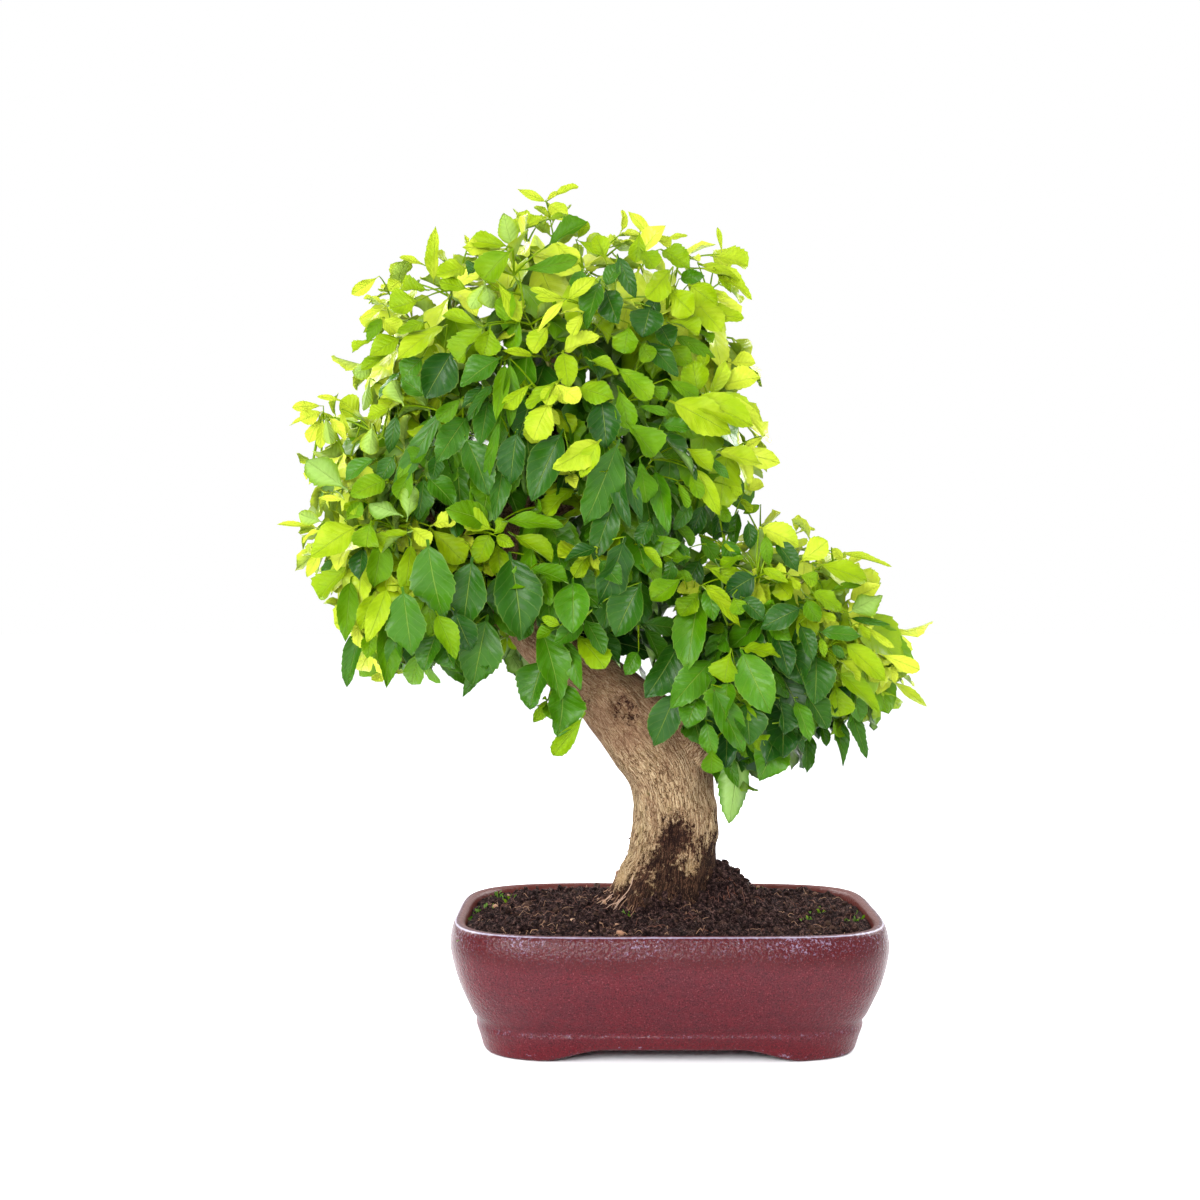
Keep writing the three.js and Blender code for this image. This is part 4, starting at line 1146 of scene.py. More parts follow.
# Tips of shoots that stand out of the lobes
LEADERS = [
    (-70, 0, 486), (-22, 10, 476), (-126, 12, 462), (-166, -10, 440), (-200, 8, 368), (-208, -12, 300),
    (36, 10, 452), (34, -14, 390), (38, 16, 336), (106, -10, 276), (134, 6, 214), (100, -14, 190),
    (44, -20, 152), (-176, 10, 226), (-122, -24, 220), (-70, -36, 200),
]
MATURE = {
    "name": "mature_spray_%02d", "count": 26, "first": 1, "seed": 11, "reach": 0.84, "stem": 60,
    "radius": 1.5, "length": (44, 58), "width": (0.49, 0.59), "lean": 0.12, "outward": 0.08,
    "spread": 0.7, "hang": 1.05, "rise": 0.3, "droop": (0.0, 0.5), "fold": (0.10, 0.35),
    "tone": (0.04, 0.50), "blade": "broad", "pairs": 6, "buds": 2,
}
YOUNG = {
    "name": "young_shoot_%02d", "count": 27, "first": 1, "seed": 23, "reach": 0.98, "stem": 50,
    "radius": 1.0, "length": (24, 36), "width": (0.50, 0.64), "lean": 0.6, "outward": 0.2,
    "spread": 0.85, "hang": 0.45, "rise": 0.6, "droop": (0.1, 0.9), "fold": (0.15, 0.6),
    "tone": (0.56, 0.94), "blade": "spoon", "pairs": 5, "buds": 4,
}
# The shoots between the sprays
FILL = MATURE | {"count": 92, "first": 700, "seed": 31, "reach": 0.80, "stem": 42, "length": (42, 54)}
FILL |= {"tone": (0.10, 0.58), "pairs": 4}
YOUNG_FILL = YOUNG | {"count": 40, "first": 900, "seed": 47, "reach": 0.93, "stem": 34}
YOUNG_FILL |= {"length": (22, 33), "pairs": 4, "buds": 3}
FILL_SHORTEST = 30
FILL_MIDDLE = -62  # parts the mature ones into a left and a right half
# The bare stretch of leaning trunk, in pixels of the photograph
GLIMPSE = {"from": (508, 612), "to": (556, 680), "half_width": 20}
# The foliage's outline, in pixels of the photograph
OUTLINE = [
    (434, 228), (455, 240), (480, 238), (500, 212), (512, 222), (530, 186), (580, 183), (590, 222),
    (620, 236), (632, 208), (660, 226), (690, 232), (700, 250), (716, 226), (752, 264), (740, 282),
    (756, 300), (722, 322), (720, 345), (757, 360), (766, 380), (748, 392), (768, 436), (768, 474),
    (758, 500), (800, 538), (845, 552), (892, 568), (880, 585), (888, 608), (866, 622), (896, 650),
    (925, 672), (928, 708), (895, 700), (872, 760), (848, 768), (830, 728), (806, 776), (790, 752),
    (764, 784), (748, 766), (734, 824), (716, 788), (700, 742), (652, 738), (645, 672), (598, 655),
    (572, 690), (560, 738), (530, 710), (516, 670), (500, 655), (470, 692), (455, 668), (408, 668),
    (392, 690), (346, 690), (342, 640), (320, 600), (300, 580), (306, 560), (274, 526), (316, 512),
    (312, 494), (340, 494), (304, 458), (316, 448), (288, 424), (288, 404), (330, 396), (350, 404),
    (360, 380), (346, 355), (358, 320), (350, 295), (372, 272), (400, 256), (420, 266),
]
TRIED = 90  # directions in which a lobe may have a tip
HIDDEN = 0.97  # a tip this deep in another lobe isn't used
LOWEST = -0.7  # nor one that points further down than this
SHORTEST = 58  # nor one nearer to its carrier
# How far below its tip a twig looks for its carrier, its bow, and its bare length from the wood
TWIG = {"drop": 26, "bow": 0.16, "clear": 8}
TRUNK_CARRIERS_FROM = 11
BRANCH_CARRIERS_FROM = 3
MASK = 0xFFFFFFFF
# Leaves are paler away from this middle of the crown and above its low part, which reaches less high
# on its left and right. The paleness is partly fresh growth and partly painted light: a painted
# highlight at the crown's top and sides, and painted shade that dulls its low part.
CROWN = {"centre": (-66, 0, 320), "radii": (138, 150, 175), "low": 225, "left": 70, "right": 60}
FRESH_LIGHT_AND_SHADE = {"edge": 0.74, "low": 0.25, "right": 0.20}  # how much paler, and how much duller


def draw_from(seed):
    """Seeded draws from 0 to 1, the same ones as in the solids' rule."""
    state = seed & MASK

    def draw():
        nonlocal state
        state = (state + 0x6D2B79F5) & MASK
        t = state
        t = ((t ^ (t >> 15)) * (t | 1)) & MASK
        t ^= (t + (((t ^ (t >> 7)) * (t | 61)) & MASK)) & MASK
        return ((t ^ (t >> 14)) & MASK) / 2**32

    return draw


def even_direction(index, count):
    z = 1 - (2 * index + 1) / count
    angle = index * math.pi * (3 - math.sqrt(5))
    flat = math.sqrt(1 - z * z)
    return np.array([flat * math.cos(angle), flat * math.sin(angle), z])


def find_carriers():
    """The places on the wood that a twig may leave from: their middle and radius."""
    found = [(np.array(row[:3], float), row[3]) for row in TRUNK_LINE[TRUNK_CARRIERS_FROM:]]
    found += [(np.array(row[:3], float), row[3]) for row in BRANCH_LINE[BRANCH_CARRIERS_FROM:]]
    for limb in LIMBS:
        for t in LIMB["carriers"]:
            found.append((bezier(*limb, t), LIMB["base"] + (LIMB["end"] - LIMB["base"]) * t))
    return found


CARRIERS = find_carriers()


def carrier_of(tip):
    low = tip - UP * TWIG["drop"]
    return min(CARRIERS, key=lambda carrier: np.linalg.norm(carrier[0] - low))


def in_lobe(point, lobe, share):
    inner = (point - np.array(lobe[0])) / np.array(lobe[1])
    return inner @ inner < share * share


def open_places(reach, shortest):
    """Tips on the outside of the lobes, with how densely each lobe is filled."""
    found = []
    for lobe, i in itertools.product(LOBES, range(TRIED)):
        centre, radii, density = lobe
        direction = even_direction(i, TRIED)
        tip = np.array(radii) * direction * reach + np.array(centre)
        hidden = any(in_lobe(tip, other, reach * HIDDEN) for other in LOBES if other is not lobe)
        far = np.linalg.norm(tip - carrier_of(tip)[0]) > shortest
        if not hidden and far and direction[2] > LOWEST:
            found.append((tip, density))
    return found


def add_tips(kind, tips, taken, shortest=SHORTEST):
    """Fills tips up to the kind's count, each the open place furthest from every tip so far."""
    places = open_places(kind["reach"], shortest)
    spots = np.array([tip for tip, _ in places])
    density = np.array([dense for _, dense in places])
    nearest = np.min([density * np.linalg.norm(spots - other, axis=1) for other in taken], axis=0)
    while len(tips) < kind["count"]:
        tip = spots[int(np.argmax(nearest))]
        tips.append(tip)
        taken.append(tip)
        nearest = np.minimum(nearest, density * np.linalg.norm(spots - tip, axis=1))
    return [grow(kind, tip, kind["first"] + i) for i, tip in enumerate(tips)]


def grow(kind, tip, index):
    """A spray's curve from the wood to its tip, and where its leafy stem begins."""
    draw = draw_from(kind["seed"] * 1000 + index)
    source, radius = carrier_of(tip)
    reach = np.linalg.norm(tip - source)
    bend = (source + tip) / 2 + UP * TWIG["bow"] * reach
    return {
        "kind": kind,
        "index": index,
        "at": lambda t: bezier(source, bend, tip, t),
        "start": min(0.8, max(1 - kind["stem"] / reach, (radius + TWIG["clear"]) / reach)),
        "radius": kind["radius"],
        "outward": unit(tip - source),
        "turn": math.pi * draw(),
    }


def add_stem(sheaf, shoot):
    t = np.linspace(shoot["start"], 1, 10)
    radius = shoot["radius"] * (1 - 0.6 * (t - t[0]) / (1 - t[0]))
    add_tube(sheaf, np.column_stack([shoot["at"](t), radius]), 5, tone=0.72)


def round_stem(along, angle):
    """The direction that is square to a stem at an angle round it."""
    across = unit(np.cross(along, UP) + 1e-6)
    return across * math.cos(angle) + np.cross(along, across) * math.sin(angle)


def freshness_light_and_shade(point):
    """How pale leaves are at a place in the crown: more so at its top and sides, partly for fresh growth
    and partly as painted light, and duller low down as painted shade.
    """
    offset = (point - np.array(CROWN["centre"])) / np.array(CROWN["radii"])
    edge = math.sqrt(offset[0] ** 2 + 0.35 * offset[1] ** 2 + max(offset[2], 0) ** 2)
    low = CROWN["low"] - CROWN["left"] * ease((-point[0] - 115) / 45)
    low -= CROWN["right"] * ease((point[0] - 85) / 40)
    high = float(ease((point[2] - low) / 80))
    right = float(ease((point[0] - 15) / 30) * ease((300 - point[2]) / 30))
    fresh = FRESH_LIGHT_AND_SHADE["edge"] * float(ease((edge - 0.5) / 0.5)) * (0.3 + 0.7 * high)
    return fresh - FRESH_LIGHT_AND_SHADE["low"] * (1 - high) - FRESH_LIGHT_AND_SHADE["right"] * right


def dress(sheaf, shoot, rng):
    """Puts the leaves on a shoot, in pairs that cross the pair before and shrink to its tip."""
    kind = shoot["kind"]
    low_tone, high_tone = kind["tone"]
    for p in range(kind["pairs"]):
        share = (p + 0.35) / kind["pairs"]
        t = shoot["start"] + (1 - shoot["start"]) * share
        here = shoot["at"](t)
        along = unit(shoot["at"](t + 0.03) - here)
        # Paler or duller by place in the crown: partly fresh growth, partly painted light and shade
        fresh = freshness_light_and_shade(here)
        for flip in (0, math.pi):
            angle = shoot["turn"] + flip + (p % 2) * math.pi / 2 + rng.uniform(-0.4, 0.4)
            side = round_stem(along, angle)
            direction, face = leaf_pose(kind, along, side, shoot["outward"], rng)
            length = rng.uniform(*kind["length"]) * (1 - 0.30 * share**1.6)
            if pruned(here, direction, length):
                continue
            age = np.clip(0.45 * share + rng.uniform(0, 0.6), 0, 1)
            look = {
                "length": length,
                "width": length * rng.uniform(*kind["width"]),
                "tone": np.clip(low_tone + (high_tone - low_tone) * age + fresh, 0, 0.93),
                "droop": rng.uniform(*kind["droop"]),
                "fold": rng.uniform(*kind["fold"]),
                "spots": float(rng.random() < 0.12),
            }
            base = here + side * 0.4 * kind["radius"]
            add_leaf(sheaf, rng, kind["blade"], base, direction, face, **look)
    add_bud(sheaf, shoot, rng)


def in_outline(pixel):
    """Whether a pixel lies inside the foliage's outline, by how often a line to its right crosses it."""
    first = np.array(OUTLINE, float)
    last = np.roll(first, -1, axis=0)
    spans = (first[:, 1] > pixel[1]) != (last[:, 1] > pixel[1])
    first, last = first[spans], last[spans]
    share = (pixel[1] - first[:, 1]) / (last[:, 1] - first[:, 1])
    across = first[:, 0] + share * (last[:, 0] - first[:, 0])
    return np.count_nonzero(across > pixel[0]) % 2 == 1


def in_glimpse(pixel):
    first, last = np.array(GLIMPSE["from"]), np.array(GLIMPSE["to"])
    t = np.clip((pixel - first) @ (last - first) / ((last - first) @ (last - first)), 0, 1)
    return np.linalg.norm(pixel - first - t * (last - first)) < GLIMPSE["half_width"]


def pruned(base, direction, length):
    """Whether a leaf would hide a leaf that the front shows, or the bare stretch of trunk."""
    point = base + direction * length * 0.6
    pixel = pixel_of(point)
    near = any(in_glimpse(pixel_of(base + direction * length * share)) for share in (0.35, 0.65, 0.95))
    depth = front_depth(pixel)
    before = depth is not None and point[1] < depth + FRONT["shell"]
    outside = not (in_outline(pixel) and in_outline(pixel_of(base + direction * length * 0.95)))
    return bool(before or outside or (near and point[1] < 10))


def leaf_pose(kind, along, side, outward, rng):
    """Which way a leaf points and which way its face looks."""
    direction = along * kind["lean"] * rng.uniform(0.6, 1.4) + side * kind["spread"]
    direction = direction + outward * kind["outward"]
    direction = direction - UP * kind["hang"] * rng.uniform(0.6, 1.35)
    direction = unit(direction + rng.normal(0, 0.1, 3))
    face = outward + UP * kind["rise"] * rng.uniform(0.6, 1.35) + side * 0.3 + rng.normal(0, 0.2, 3)
    return direction, square_to(direction, face)


def add_bud(sheaf, shoot, rng):
    """The small leaves that are just opening at a shoot's tip."""
    kind = shoot["kind"]
    tip = shoot["at"](1.0)
    along = unit(tip - shoot["at"](0.96))
    tone = np.clip(kind["tone"][1] + freshness_light_and_shade(tip), 0, 1)
    for k in range(kind["buds"]):
        angle = shoot["turn"] + k * math.pi / 2 + (0.8 if k > 1 else 0)
        side = round_stem(along, angle)
        direction = unit(along * rng.uniform(0.6, 1.2) + side * 0.8 - UP * 0.25)
        face = square_to(direction, along)
        length = kind["length"][0] * (0.62 if k < 2 else 0.36) * rng.uniform(0.8, 1.1)
        look = {"length": length, "width": length * 0.45, "droop": rng.uniform(0.2, 0.8), "fold": 0.5}
        add_leaf(sheaf, rng, "plain", tip, direction, face, tone=tone, **look)


TURNED = 20
# Leaves at the crown's front, read from the photograph: the pixels of base and tip, the width
# in pixels and the tone in tenths, with TURNED added where the pale underside shows
FRONT_LEAVES = [
    (546, 202, 517, 191, 9, 9), (548, 200, 577, 186, 9, 9), (549, 204, 567, 221, 17, 9),
    (546, 200, 557, 192, 5, 10), (512, 246, 503, 214, 20, 28), (510, 247, 471, 240, 16, 8),
    (512, 250, 485, 280, 30, 7), (522, 226, 526, 210, 14, 9), (528, 226, 542, 218, 12, 9),
    (522, 226, 513, 209, 6, 9), (492, 251, 463, 248, 20, 9), (546, 247, 586, 222, 20, 5),
    (541, 222, 573, 218, 14, 7), (556, 244, 578, 263, 19, 9), (577, 240, 601, 254, 9, 8),
    (577, 240, 588, 222, 11, 8), (606, 262, 596, 236, 17, 8), (521, 270, 577, 262, 16, 5),
    (497, 282, 521, 320, 15, 8), (486, 283, 470, 308, 16, 28), (484, 282, 492, 308, 22, 28),
    (566, 299, 530, 290, 7, 9), (566, 299, 536, 298, 8, 9), (568, 300, 595, 277, 14, 9),
    (564, 300, 540, 333, 10, 10), (561, 313, 583, 312, 9, 9), (481, 326, 443, 317, 14, 8),
    (486, 325, 460, 362, 30, 7), (490, 327, 485, 357, 24, 7), (549, 325, 533, 352, 22, 8),
    (583, 313, 572, 335, 15, 9), (563, 352, 599, 338, 20, 9), (533, 356, 503, 350, 9, 8),
    (505, 322, 510, 292, 20, 6), (600, 281, 588, 328, 26, 3), (606, 290, 620, 322, 26, 2),
    (629, 325, 624, 353, 26, 6), (606, 286, 618, 262, 16, 3), (618, 256, 633, 298, 16, 2),
    (582, 270, 576, 298, 20, 4), (480, 265, 468, 275, 16, 2), (466, 268, 437, 276, 22, 8),
    (470, 290, 440, 282, 16, 7), (434, 282, 437, 228, 14, 9), (427, 266, 400, 258, 8, 9),
    (378, 277, 353, 295, 12, 10), (386, 306, 364, 299, 14, 10), (386, 308, 361, 318, 8, 9),
    (400, 281, 389, 291, 14, 9), (420, 300, 391, 310, 28, 8), (428, 290, 400, 290, 20, 8),
    (381, 318, 363, 332, 8, 9), (383, 318, 367, 341, 12, 6), (381, 318, 396, 333, 20, 9),
    (425, 322, 398, 333, 16, 7), (400, 338, 369, 356, 22, 8), (372, 340, 353, 353, 13, 8),
    (375, 357, 356, 377, 16, 28), (392, 352, 362, 370, 12, 7), (445, 326, 399, 360, 28, 8),
    (452, 352, 424, 396, 36, 1), (400, 372, 380, 400, 14, 4), (422, 358, 402, 380, 22, 4),
    (403, 405, 392, 381, 23, 28), (425, 396, 402, 378, 20, 3), (370, 380, 364, 410, 10, 28),
    (345, 402, 318, 396, 6, 10), (322, 406, 293, 408, 10, 10), (322, 412, 302, 422, 16, 10),
    (362, 418, 340, 402, 24, 9), (388, 408, 368, 420, 16, 8), (318, 415, 290, 426, 6, 10),
    (320, 418, 309, 442, 13, 10), (322, 418, 321, 448, 10, 9), (326, 416, 330, 444, 13, 29),
    (330, 418, 345, 440, 11, 10), (342, 410, 347, 434, 9, 9), (346, 489, 308, 460, 28, 27),
    (372, 425, 370, 454, 19, 28), (396, 415, 391, 453, 14, 2), (444, 408, 391, 494, 18, 3),
    (424, 436, 400, 480, 9, 6), (394, 456, 379, 482, 18, 2), (374, 459, 345, 479, 17, 4),
    (386, 480, 352, 497, 24, 6), (413, 468, 396, 497, 19, 6), (402, 516, 371, 502, 20, 26),
    (407, 520, 412, 486, 20, 27), (424, 478, 420, 520, 22, 2), (428, 478, 453, 505, 26, 3),
    (467, 417, 437, 462, 27, 3), (430, 448, 412, 462, 18, 5), (437, 455, 432, 479, 16, 2),
    (411, 531, 382, 553, 25, 8), (411, 543, 402, 597, 24, 7), (411, 527, 430, 544, 17, 9),
    (431, 526, 456, 520, 18, 10), (431, 529, 464, 561, 26, 8), (382, 540, 373, 586, 25, 6),
    (371, 522, 366, 546, 26, 7), (356, 527, 312, 556, 32, 8), (363, 548, 360, 580, 18, 1),
    (320, 528, 278, 524, 6, 10), (320, 530, 303, 542, 9, 10), (322, 522, 299, 514, 15, 28),
    (320, 552, 308, 577, 11, 10), (350, 565, 320, 598, 26, 8), (333, 558, 322, 578, 9, 3),
    (345, 520, 362, 503, 14, 6), (343, 500, 318, 497, 6, 10), (360, 500, 345, 510, 14, 8),
    (500, 358, 460, 385, 28, 3), (484, 386, 464, 408, 12, 1), (493, 384, 467, 420, 15, 2),
    (505, 364, 497, 419, 15, 6), (510, 362, 508, 425, 16, 5), (531, 384, 502, 406, 15, 8),
    (551, 399, 532, 438, 27, 9), (557, 384, 545, 404, 18, 9), (556, 384, 566, 404, 16, 9),
    (560, 386, 578, 402, 19, 10), (563, 352, 570, 388, 22, 8), (579, 387, 613, 399, 25, 7),
    (601, 398, 608, 447, 31, 1), (599, 441, 555, 470, 26, 9), (599, 442, 580, 476, 18, 8),
    (562, 432, 533, 500, 32, 2), (517, 432, 510, 483, 28, 1), (500, 420, 482, 486, 10, 5),
    (466, 438, 491, 492, 30, 2), (505, 452, 493, 520, 20, 2), (493, 530, 463, 515, 22, 8),
    (490, 524, 447, 507, 28, 6), (505, 521, 563, 525, 18, 6), (618, 443, 586, 524, 38, 3),
    (616, 500, 592, 558, 26, 2), (560, 380, 528, 408, 18, 7), (488, 400, 480, 445, 22, 2),
    (462, 398, 438, 420, 16, 5), (651, 238, 630, 211, 11, 10), (661, 240, 687, 235, 8, 9),
    (640, 232, 637, 262, 16, 8), (652, 238, 671, 246, 12, 9), (640, 248, 655, 268, 22, 7),
    (662, 250, 690, 268, 22, 7), (672, 268, 646, 296, 26, 8), (712, 256, 747, 266, 24, 9),
    (722, 253, 717, 228, 5, 9), (690, 268, 740, 280, 14, 8), (700, 264, 752, 298, 18, 9),
    (715, 268, 732, 292, 9, 8), (680, 279, 704, 276, 14, 4), (706, 292, 731, 298, 9, 9),
    (690, 285, 717, 305, 24, 8), (668, 288, 692, 314, 28, 8), (668, 322, 698, 335, 22, 8),
    (700, 313, 743, 318, 22, 8), (692, 300, 720, 332, 30, 8), (697, 330, 712, 343, 14, 6),
    (674, 336, 715, 356, 13, 5), (650, 308, 643, 337, 32, 1), (657, 298, 649, 316, 16, 1),
    (660, 326, 672, 347, 22, 2), (648, 342, 676, 377, 20, 2), (640, 342, 652, 360, 18, 6),
    (728, 363, 755, 362, 16, 10), (722, 386, 760, 377, 24, 10), (700, 372, 706, 354, 12, 8),
    (670, 345, 690, 368, 20, 7), (616, 367, 651, 398, 22, 6), (590, 360, 618, 374, 15, 7),
    (618, 388, 630, 428, 20, 6), (627, 423, 653, 456, 30, 6), (655, 430, 695, 480, 27, 2),
    (640, 460, 645, 502, 25, 5), (655, 470, 672, 530, 20, 4), (672, 402, 730, 432, 34, 8),
    (690, 402, 752, 424, 28, 8), (698, 392, 693, 362, 26, 7), (668, 380, 698, 398, 16, 6),
    (727, 396, 764, 435, 13, 10), (764, 436, 746, 448, 8, 10), (718, 452, 761, 466, 21, 9),
    (683, 446, 712, 470, 18, 8), (696, 468, 722, 513, 17, 8), (708, 458, 729, 478, 10, 4),
    (745, 492, 763, 484, 13, 10), (705, 532, 731, 527, 16, 4), (755, 450, 768, 471, 6, 10),
    (620, 452, 640, 520, 15, 1), (612, 458, 626, 528, 16, 1), (678, 482, 686, 508, 10, 6),
    (636, 406, 668, 414, 9, 5), (662, 425, 690, 430, 16, 4), (650, 384, 664, 400, 14, 6),
    (494, 534, 508, 524, 15, 7), (490, 534, 478, 563, 24, 7), (497, 542, 501, 577, 20, 7),
    (496, 536, 514, 546, 12, 7), (510, 533, 549, 563, 24, 7), (510, 556, 526, 636, 45, 2),
    (532, 570, 569, 584, 22, 5), (573, 581, 576, 632, 33, 4), (624, 540, 596, 603, 40, 1),
    (640, 585, 615, 635, 34, 2), (598, 548, 566, 562, 17, 1), (574, 632, 603, 668, 28, 7),
    (541, 628, 562, 698, 32, 4), (544, 660, 529, 708, 32, 3), (562, 682, 560, 736, 36, 4),
    (566, 640, 583, 688, 18, 4), (530, 618, 518, 640, 18, 2), (560, 628, 537, 638, 15, 6),
    (560, 625, 542, 618, 10, 7), (680, 641, 648, 698, 36, 1), (677, 692, 653, 744, 30, 1),
    (638, 652, 624, 674, 16, 4), (643, 546, 661, 568, 10, 7), (428, 543, 440, 617, 42, 3),
    (472, 560, 465, 628, 40, 2), (403, 590, 415, 654, 40, 3), (487, 618, 471, 684, 40, 3),
    (489, 650, 466, 697, 14, 3), (455, 612, 470, 650, 30, 1), (437, 614, 456, 658, 22, 6),
    (387, 588, 370, 642, 20, 8), (374, 594, 360, 630, 20, 8), (351, 580, 344, 640, 20, 5),
    (361, 625, 349, 686, 18, 3), (386, 620, 388, 686, 24, 5), (396, 632, 394, 671, 18, 3),
    (436, 635, 425, 670, 26, 3), (441, 634, 453, 669, 26, 2), (372, 632, 368, 658, 16, 6),
    (497, 575, 503, 618, 26, 2), (682, 578, 652, 600, 22, 6), (694, 580, 669, 577, 14, 6),
    (701, 586, 677, 590, 20, 9), (699, 592, 682, 616, 22, 7), (706, 567, 742, 584, 18, 7),
    (705, 585, 731, 607, 14, 8), (704, 587, 740, 627, 14, 8), (690, 558, 664, 560, 17, 6),
    (746, 556, 719, 570, 18, 7), (700, 590, 690, 670, 34, 4), (708, 586, 716, 620, 18, 4),
    (712, 660, 668, 704, 30, 4), (731, 650, 725, 682, 29, 7), (742, 648, 781, 656, 22, 7),
    (742, 652, 772, 711, 36, 4), (728, 682, 724, 721, 30, 4), (713, 688, 740, 752, 26, 4),
    (698, 695, 687, 727, 27, 4), (755, 576, 726, 592, 27, 0), (801, 608, 761, 628, 24, 1),
    (742, 598, 765, 620, 18, 2), (733, 596, 741, 614, 17, 6), (800, 625, 814, 660, 16, 2),
    (775, 632, 790, 676, 22, 1), (816, 655, 815, 703, 34, 2), (761, 528, 799, 545, 24, 9),
    (800, 562, 828, 543, 22, 9), (775, 541, 798, 571, 18, 2), (766, 535, 768, 565, 12, 6),
    (762, 568, 788, 582, 10, 8), (744, 552, 724, 545, 9, 8), (700, 535, 716, 552, 8, 8),
    (838, 553, 889, 569, 9, 9), (815, 563, 866, 580, 22, 8), (851, 612, 882, 596, 26, 27),
    (832, 590, 861, 585, 10, 6), (812, 592, 841, 609, 18, 7), (850, 618, 889, 626, 7, 4),
    (862, 624, 893, 648, 7, 9), (858, 624, 871, 641, 9, 8), (845, 643, 885, 679, 21, 8),
    (880, 654, 919, 669, 15, 10), (820, 632, 861, 638, 16, 4), (838, 660, 860, 681, 14, 9),
    (885, 676, 925, 707, 12, 9), (832, 645, 844, 658, 9, 3), (820, 638, 826, 657, 8, 7),
    (838, 672, 880, 709, 19, 7), (800, 575, 817, 582, 14, 7), (790, 575, 800, 590, 8, 8),
    (832, 548, 842, 560, 9, 9), (806, 600, 818, 622, 16, 5), (815, 612, 835, 620, 8, 8),
    (835, 684, 838, 716, 26, 7), (835, 712, 845, 766, 16, 3), (806, 695, 826, 729, 28, 2),
    (795, 700, 809, 741, 18, 4), (806, 728, 805, 772, 17, 3), (790, 724, 803, 755, 12, 2),
    (780, 700, 783, 735, 25, 1), (747, 702, 748, 744, 32, 2), (780, 730, 760, 780, 36, 4),
    (746, 742, 765, 766, 20, 1), (738, 750, 729, 822, 29, 24), (722, 744, 737, 787, 14, 4),
    (746, 740, 738, 790, 14, 26), (712, 748, 711, 773, 20, 5), (848, 705, 867, 757, 14, 3),
    (706, 722, 714, 756, 18, 4), (822, 725, 826, 746, 10, 3), (584, 715, 556, 756, 17, 7),
    (704, 505, 690, 537, 17, 1), (722, 508, 712, 541, 17, 1), (738, 512, 733, 545, 15, 3),
    (690, 503, 674, 530, 15, 3), (748, 522, 752, 548, 14, 2), (672, 518, 692, 545, 14, 5),
    (716, 500, 728, 522, 12, 6), (662, 505, 664, 538, 18, 2), (738, 497, 752, 512, 9, 8),
    (728, 486, 742, 494, 8, 8), (760, 505, 744, 514, 8, 7), (650, 520, 640, 548, 18, 2),
    (600, 560, 620, 585, 20, 3), (690, 470, 700, 498, 14, 6), (700, 536, 718, 566, 16, 5),
    (712, 534, 736, 530, 18, 4), (690, 548, 668, 562, 20, 4), (700, 560, 684, 590, 22, 2),
    (716, 560, 722, 590, 20, 2), (706, 545, 694, 566, 14, 6), (668, 540, 684, 566, 18, 2),
    (724, 540, 738, 566, 18, 3), (672, 560, 664, 588, 20, 3),
]
# Depths of the front leaves: beside the lobes, before the trunk and how far they stand out
FRONT = {"beside": -8, "before_trunk": -40, "out": 7, "out_each": 1.0, "shell": -3}
# Their blades reach back past the base, and are longer and wider than they show when they bend
BLADE = {"back": 0.05, "longer": 1.08, "wider": 1.06}
TRUNK_SEEN = {"left": 500, "right": 725, "top": 600}
OLD_TONE = 4  # up to this tone a front leaf is a mature one
LONGEST_SPOON = 34  # millimetres
LOBE_CENTRES = np.array([lobe[0] for lobe in LOBES], float)
LOBE_RADII = np.array([lobe[1] for lobe in LOBES], float)
DEPTHS = np.arange(-104.0, 64.0, 4.0)


def front_depth(pixel):
    """How far back the line of sight through a pixel first meets a lobe, or None."""
    sight = np.array([seen_at(pixel, depth) for depth in (DEPTHS[0], DEPTHS[-1])])
    share = ((DEPTHS - DEPTHS[0]) / (DEPTHS[-1] - DEPTHS[0]))[:, None]
    points = sight[0] * (1 - share) + sight[1] * share
    inner = (points[:, None] - LOBE_CENTRES) / LOBE_RADII
    met = ((inner**2).sum(axis=2) < 1).any(axis=1)
    return float(DEPTHS[np.argmax(met)]) if met.any() else None


def place_front_leaf(rng, leaf):
    """A front leaf's base, direction, face and look."""
    u0, v0, u1, v1, width, tone = leaf
    middle = np.array([(u0 + u1) / 2, (v0 + v1) / 2])
    depth = front_depth(middle)
    if depth is None:
        depth = FRONT["beside"] + rng.uniform(-6, 6)
    if TRUNK_SEEN["left"] < middle[0] < TRUNK_SEEN["right"] and middle[1] > TRUNK_SEEN["top"]:
        depth = min(depth, FRONT["before_trunk"])
    shown, turned = tone % TURNED, tone >= TURNED
    depth -= FRONT["out"] + FRONT["out_each"] * shown
    lean = rng.uniform(-0.12, 0.22) * math.hypot(u1 - u0, v1 - v0) * 0.6
    base, tip = seen_at((u0, v0), depth + lean), seen_at((u1, v1), depth - lean)
    toward = np.array([0.0, -1.0, 0.0]) + UP * rng.uniform(0.1, 0.7) + rng.normal(0, 0.30, 3)
    direction = unit(tip - base)
    face = square_to(direction, toward)
    if turned:
        face = -face
    droop = rng.uniform(0.1, 0.55) * (-1 if turned else 1)
    bent = unit(direction + face * droop * 0.5)
    length = np.linalg.norm(tip - base)
    base = base - direction * BLADE["back"] * length
    look = {
        "length": length * (BLADE["longer"] + droop**2 / 20),
        "width": width * (depth - CAMERA["place"][1]) / PHOTO["focal"] * BLADE["wider"],
        "tone": np.clip(shown / 10 + rng.uniform(-0.04, 0.04), 0, 1),
        "droop": droop,
        "fold": rng.uniform(0.10, 0.85),
        "spots": float(rng.random() < 0.08),
    }
    return base, bent, square_to(bent, face), look


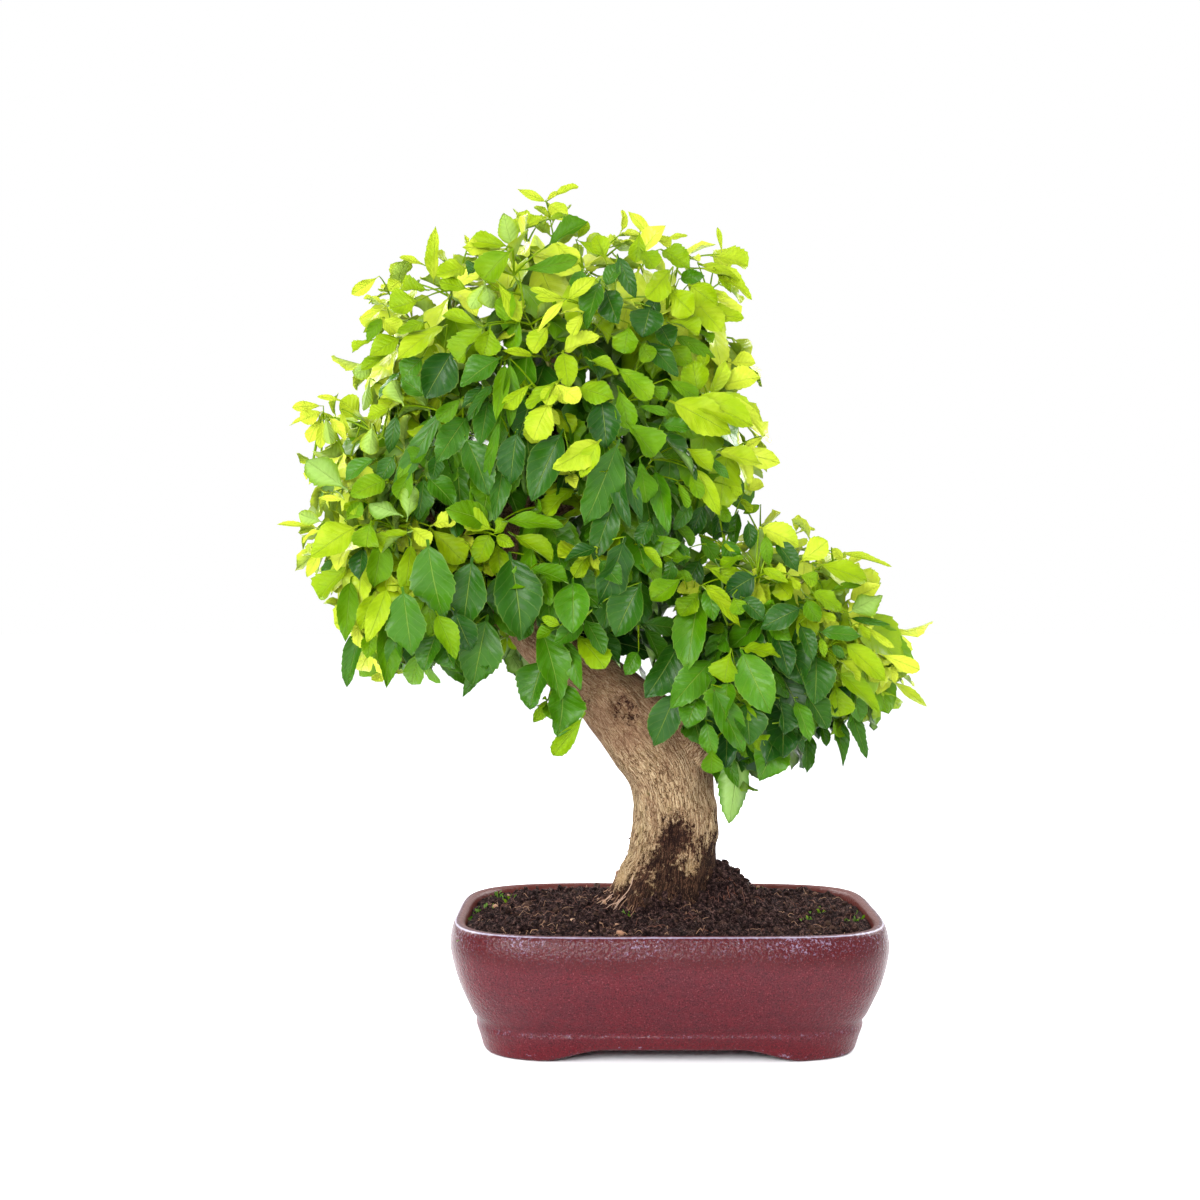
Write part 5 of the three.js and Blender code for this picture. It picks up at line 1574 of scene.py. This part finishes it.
def sprig(base, stems):
    """A thin stalk from the nearest stem behind and below to a leaf's base."""
    gap = base - stems
    cost = np.linalg.norm(gap, axis=1) + 0.6 * np.maximum(-gap[:, 2], 0) + 1.5 * np.maximum(gap[:, 1], 0)
    source = stems[int(np.argmin(cost))]
    reach = np.linalg.norm(base - source)
    bend = (source + base) / 2 + UP * 0.14 * reach
    bend[1] += 0.2 * reach
    return {"at": lambda t: bezier(source, bend, base, t), "start": 0.0, "radius": 0.75}


def make_front_leaves(paints, stems):
    """The leaves that the front shows, each on a thin sprig of its own."""
    rng = np.random.default_rng(SEEDS["front_leaves"])
    sheaves = {kind: Sheaf(*LEAF_VALUES) for kind in paints}
    for leaf in FRONT_LEAVES:
        base, direction, face, look = place_front_leaf(rng, leaf)
        kind = "young" if leaf[5] % TURNED > OLD_TONE else "mature"
        spoon = kind == "young" and rng.random() < 0.6 and look["length"] < LONGEST_SPOON
        blade = "spoon" if spoon else "broad"
        add_stem(sheaves[kind], sprig(base, stems))
        add_leaf(sheaves[kind], rng, blade, base, direction, face, **look)
    for kind, sheaf in sheaves.items():
        sheaf.piece("front_leaves_" + kind, *paints[kind])


def make_crown(mature_paint, young_paint):
    """Each spray of the solids as a piece of its own, then the front leaves and those between."""
    paints = {"mature": (mature_paint, "mature_leaf"), "young": (young_paint, "young_leaf")}
    leaders = [np.array(tip, float) for tip in LEADERS]
    young = add_tips(YOUNG, list(leaders), list(leaders))
    young_tips = [shoot["at"](1.0) for shoot in young]
    shoots = add_tips(MATURE, [], young_tips) + young
    for shoot in shoots:
        kind = shoot["kind"]
        name = kind["name"] % shoot["index"]
        paint = paints["mature" if kind is MATURE else "young"]
        leaves = add_group(name + "_leaves", [shoot], kind["seed"] * 100 + shoot["index"], paint)
        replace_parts(leaves, name)

    taken = [shoot["at"](1.0) for shoot in shoots]
    fill = add_tips(FILL, [], taken, FILL_SHORTEST)
    for side, name in ((-1, "mature_fill_left"), (1, "mature_fill_right")):
        group = [shoot for shoot in fill if (shoot["at"](1.0)[0] - FILL_MIDDLE) * side >= 0]
        add_group(name, group, SEEDS[name], paints["mature"])
    fresh = add_tips(YOUNG_FILL, [], taken, FILL_SHORTEST)
    add_group("young_fill", fresh, SEEDS["young_fill"], paints["young"])
    shoots = shoots + fill + fresh
    places = [shoot["at"](t) for shoot in shoots for t in np.linspace(shoot["start"], 0.98, 8)]
    make_front_leaves(paints, np.array(places))
    return shoots


def add_group(name, shoots, seed, paint):
    """Shoots with their leaves, as one piece."""
    rng = np.random.default_rng(seed)
    sheaf = Sheaf(*LEAF_VALUES)
    for shoot in shoots:
        add_stem(sheaf, shoot)
        dress(sheaf, shoot, rng)
    return sheaf.piece(name, *paint)


set_stage()
soil_paint = soil_material()
grit_paint = grit_material()
young_paint = leaf_material("young_leaf", 0.42, 0.34, 0.12)
shoots = make_crown(leaf_material("mature_leaf", 0.33, 0.15, 0.20), young_paint)
make_wood(shoots, bark_material())
make_pot(pot_material())
make_soil(soil_paint)
make_litter(soil_paint, grit_paint)
make_fine_roots(grit_paint)
make_moss(young_paint)
paint_nets()
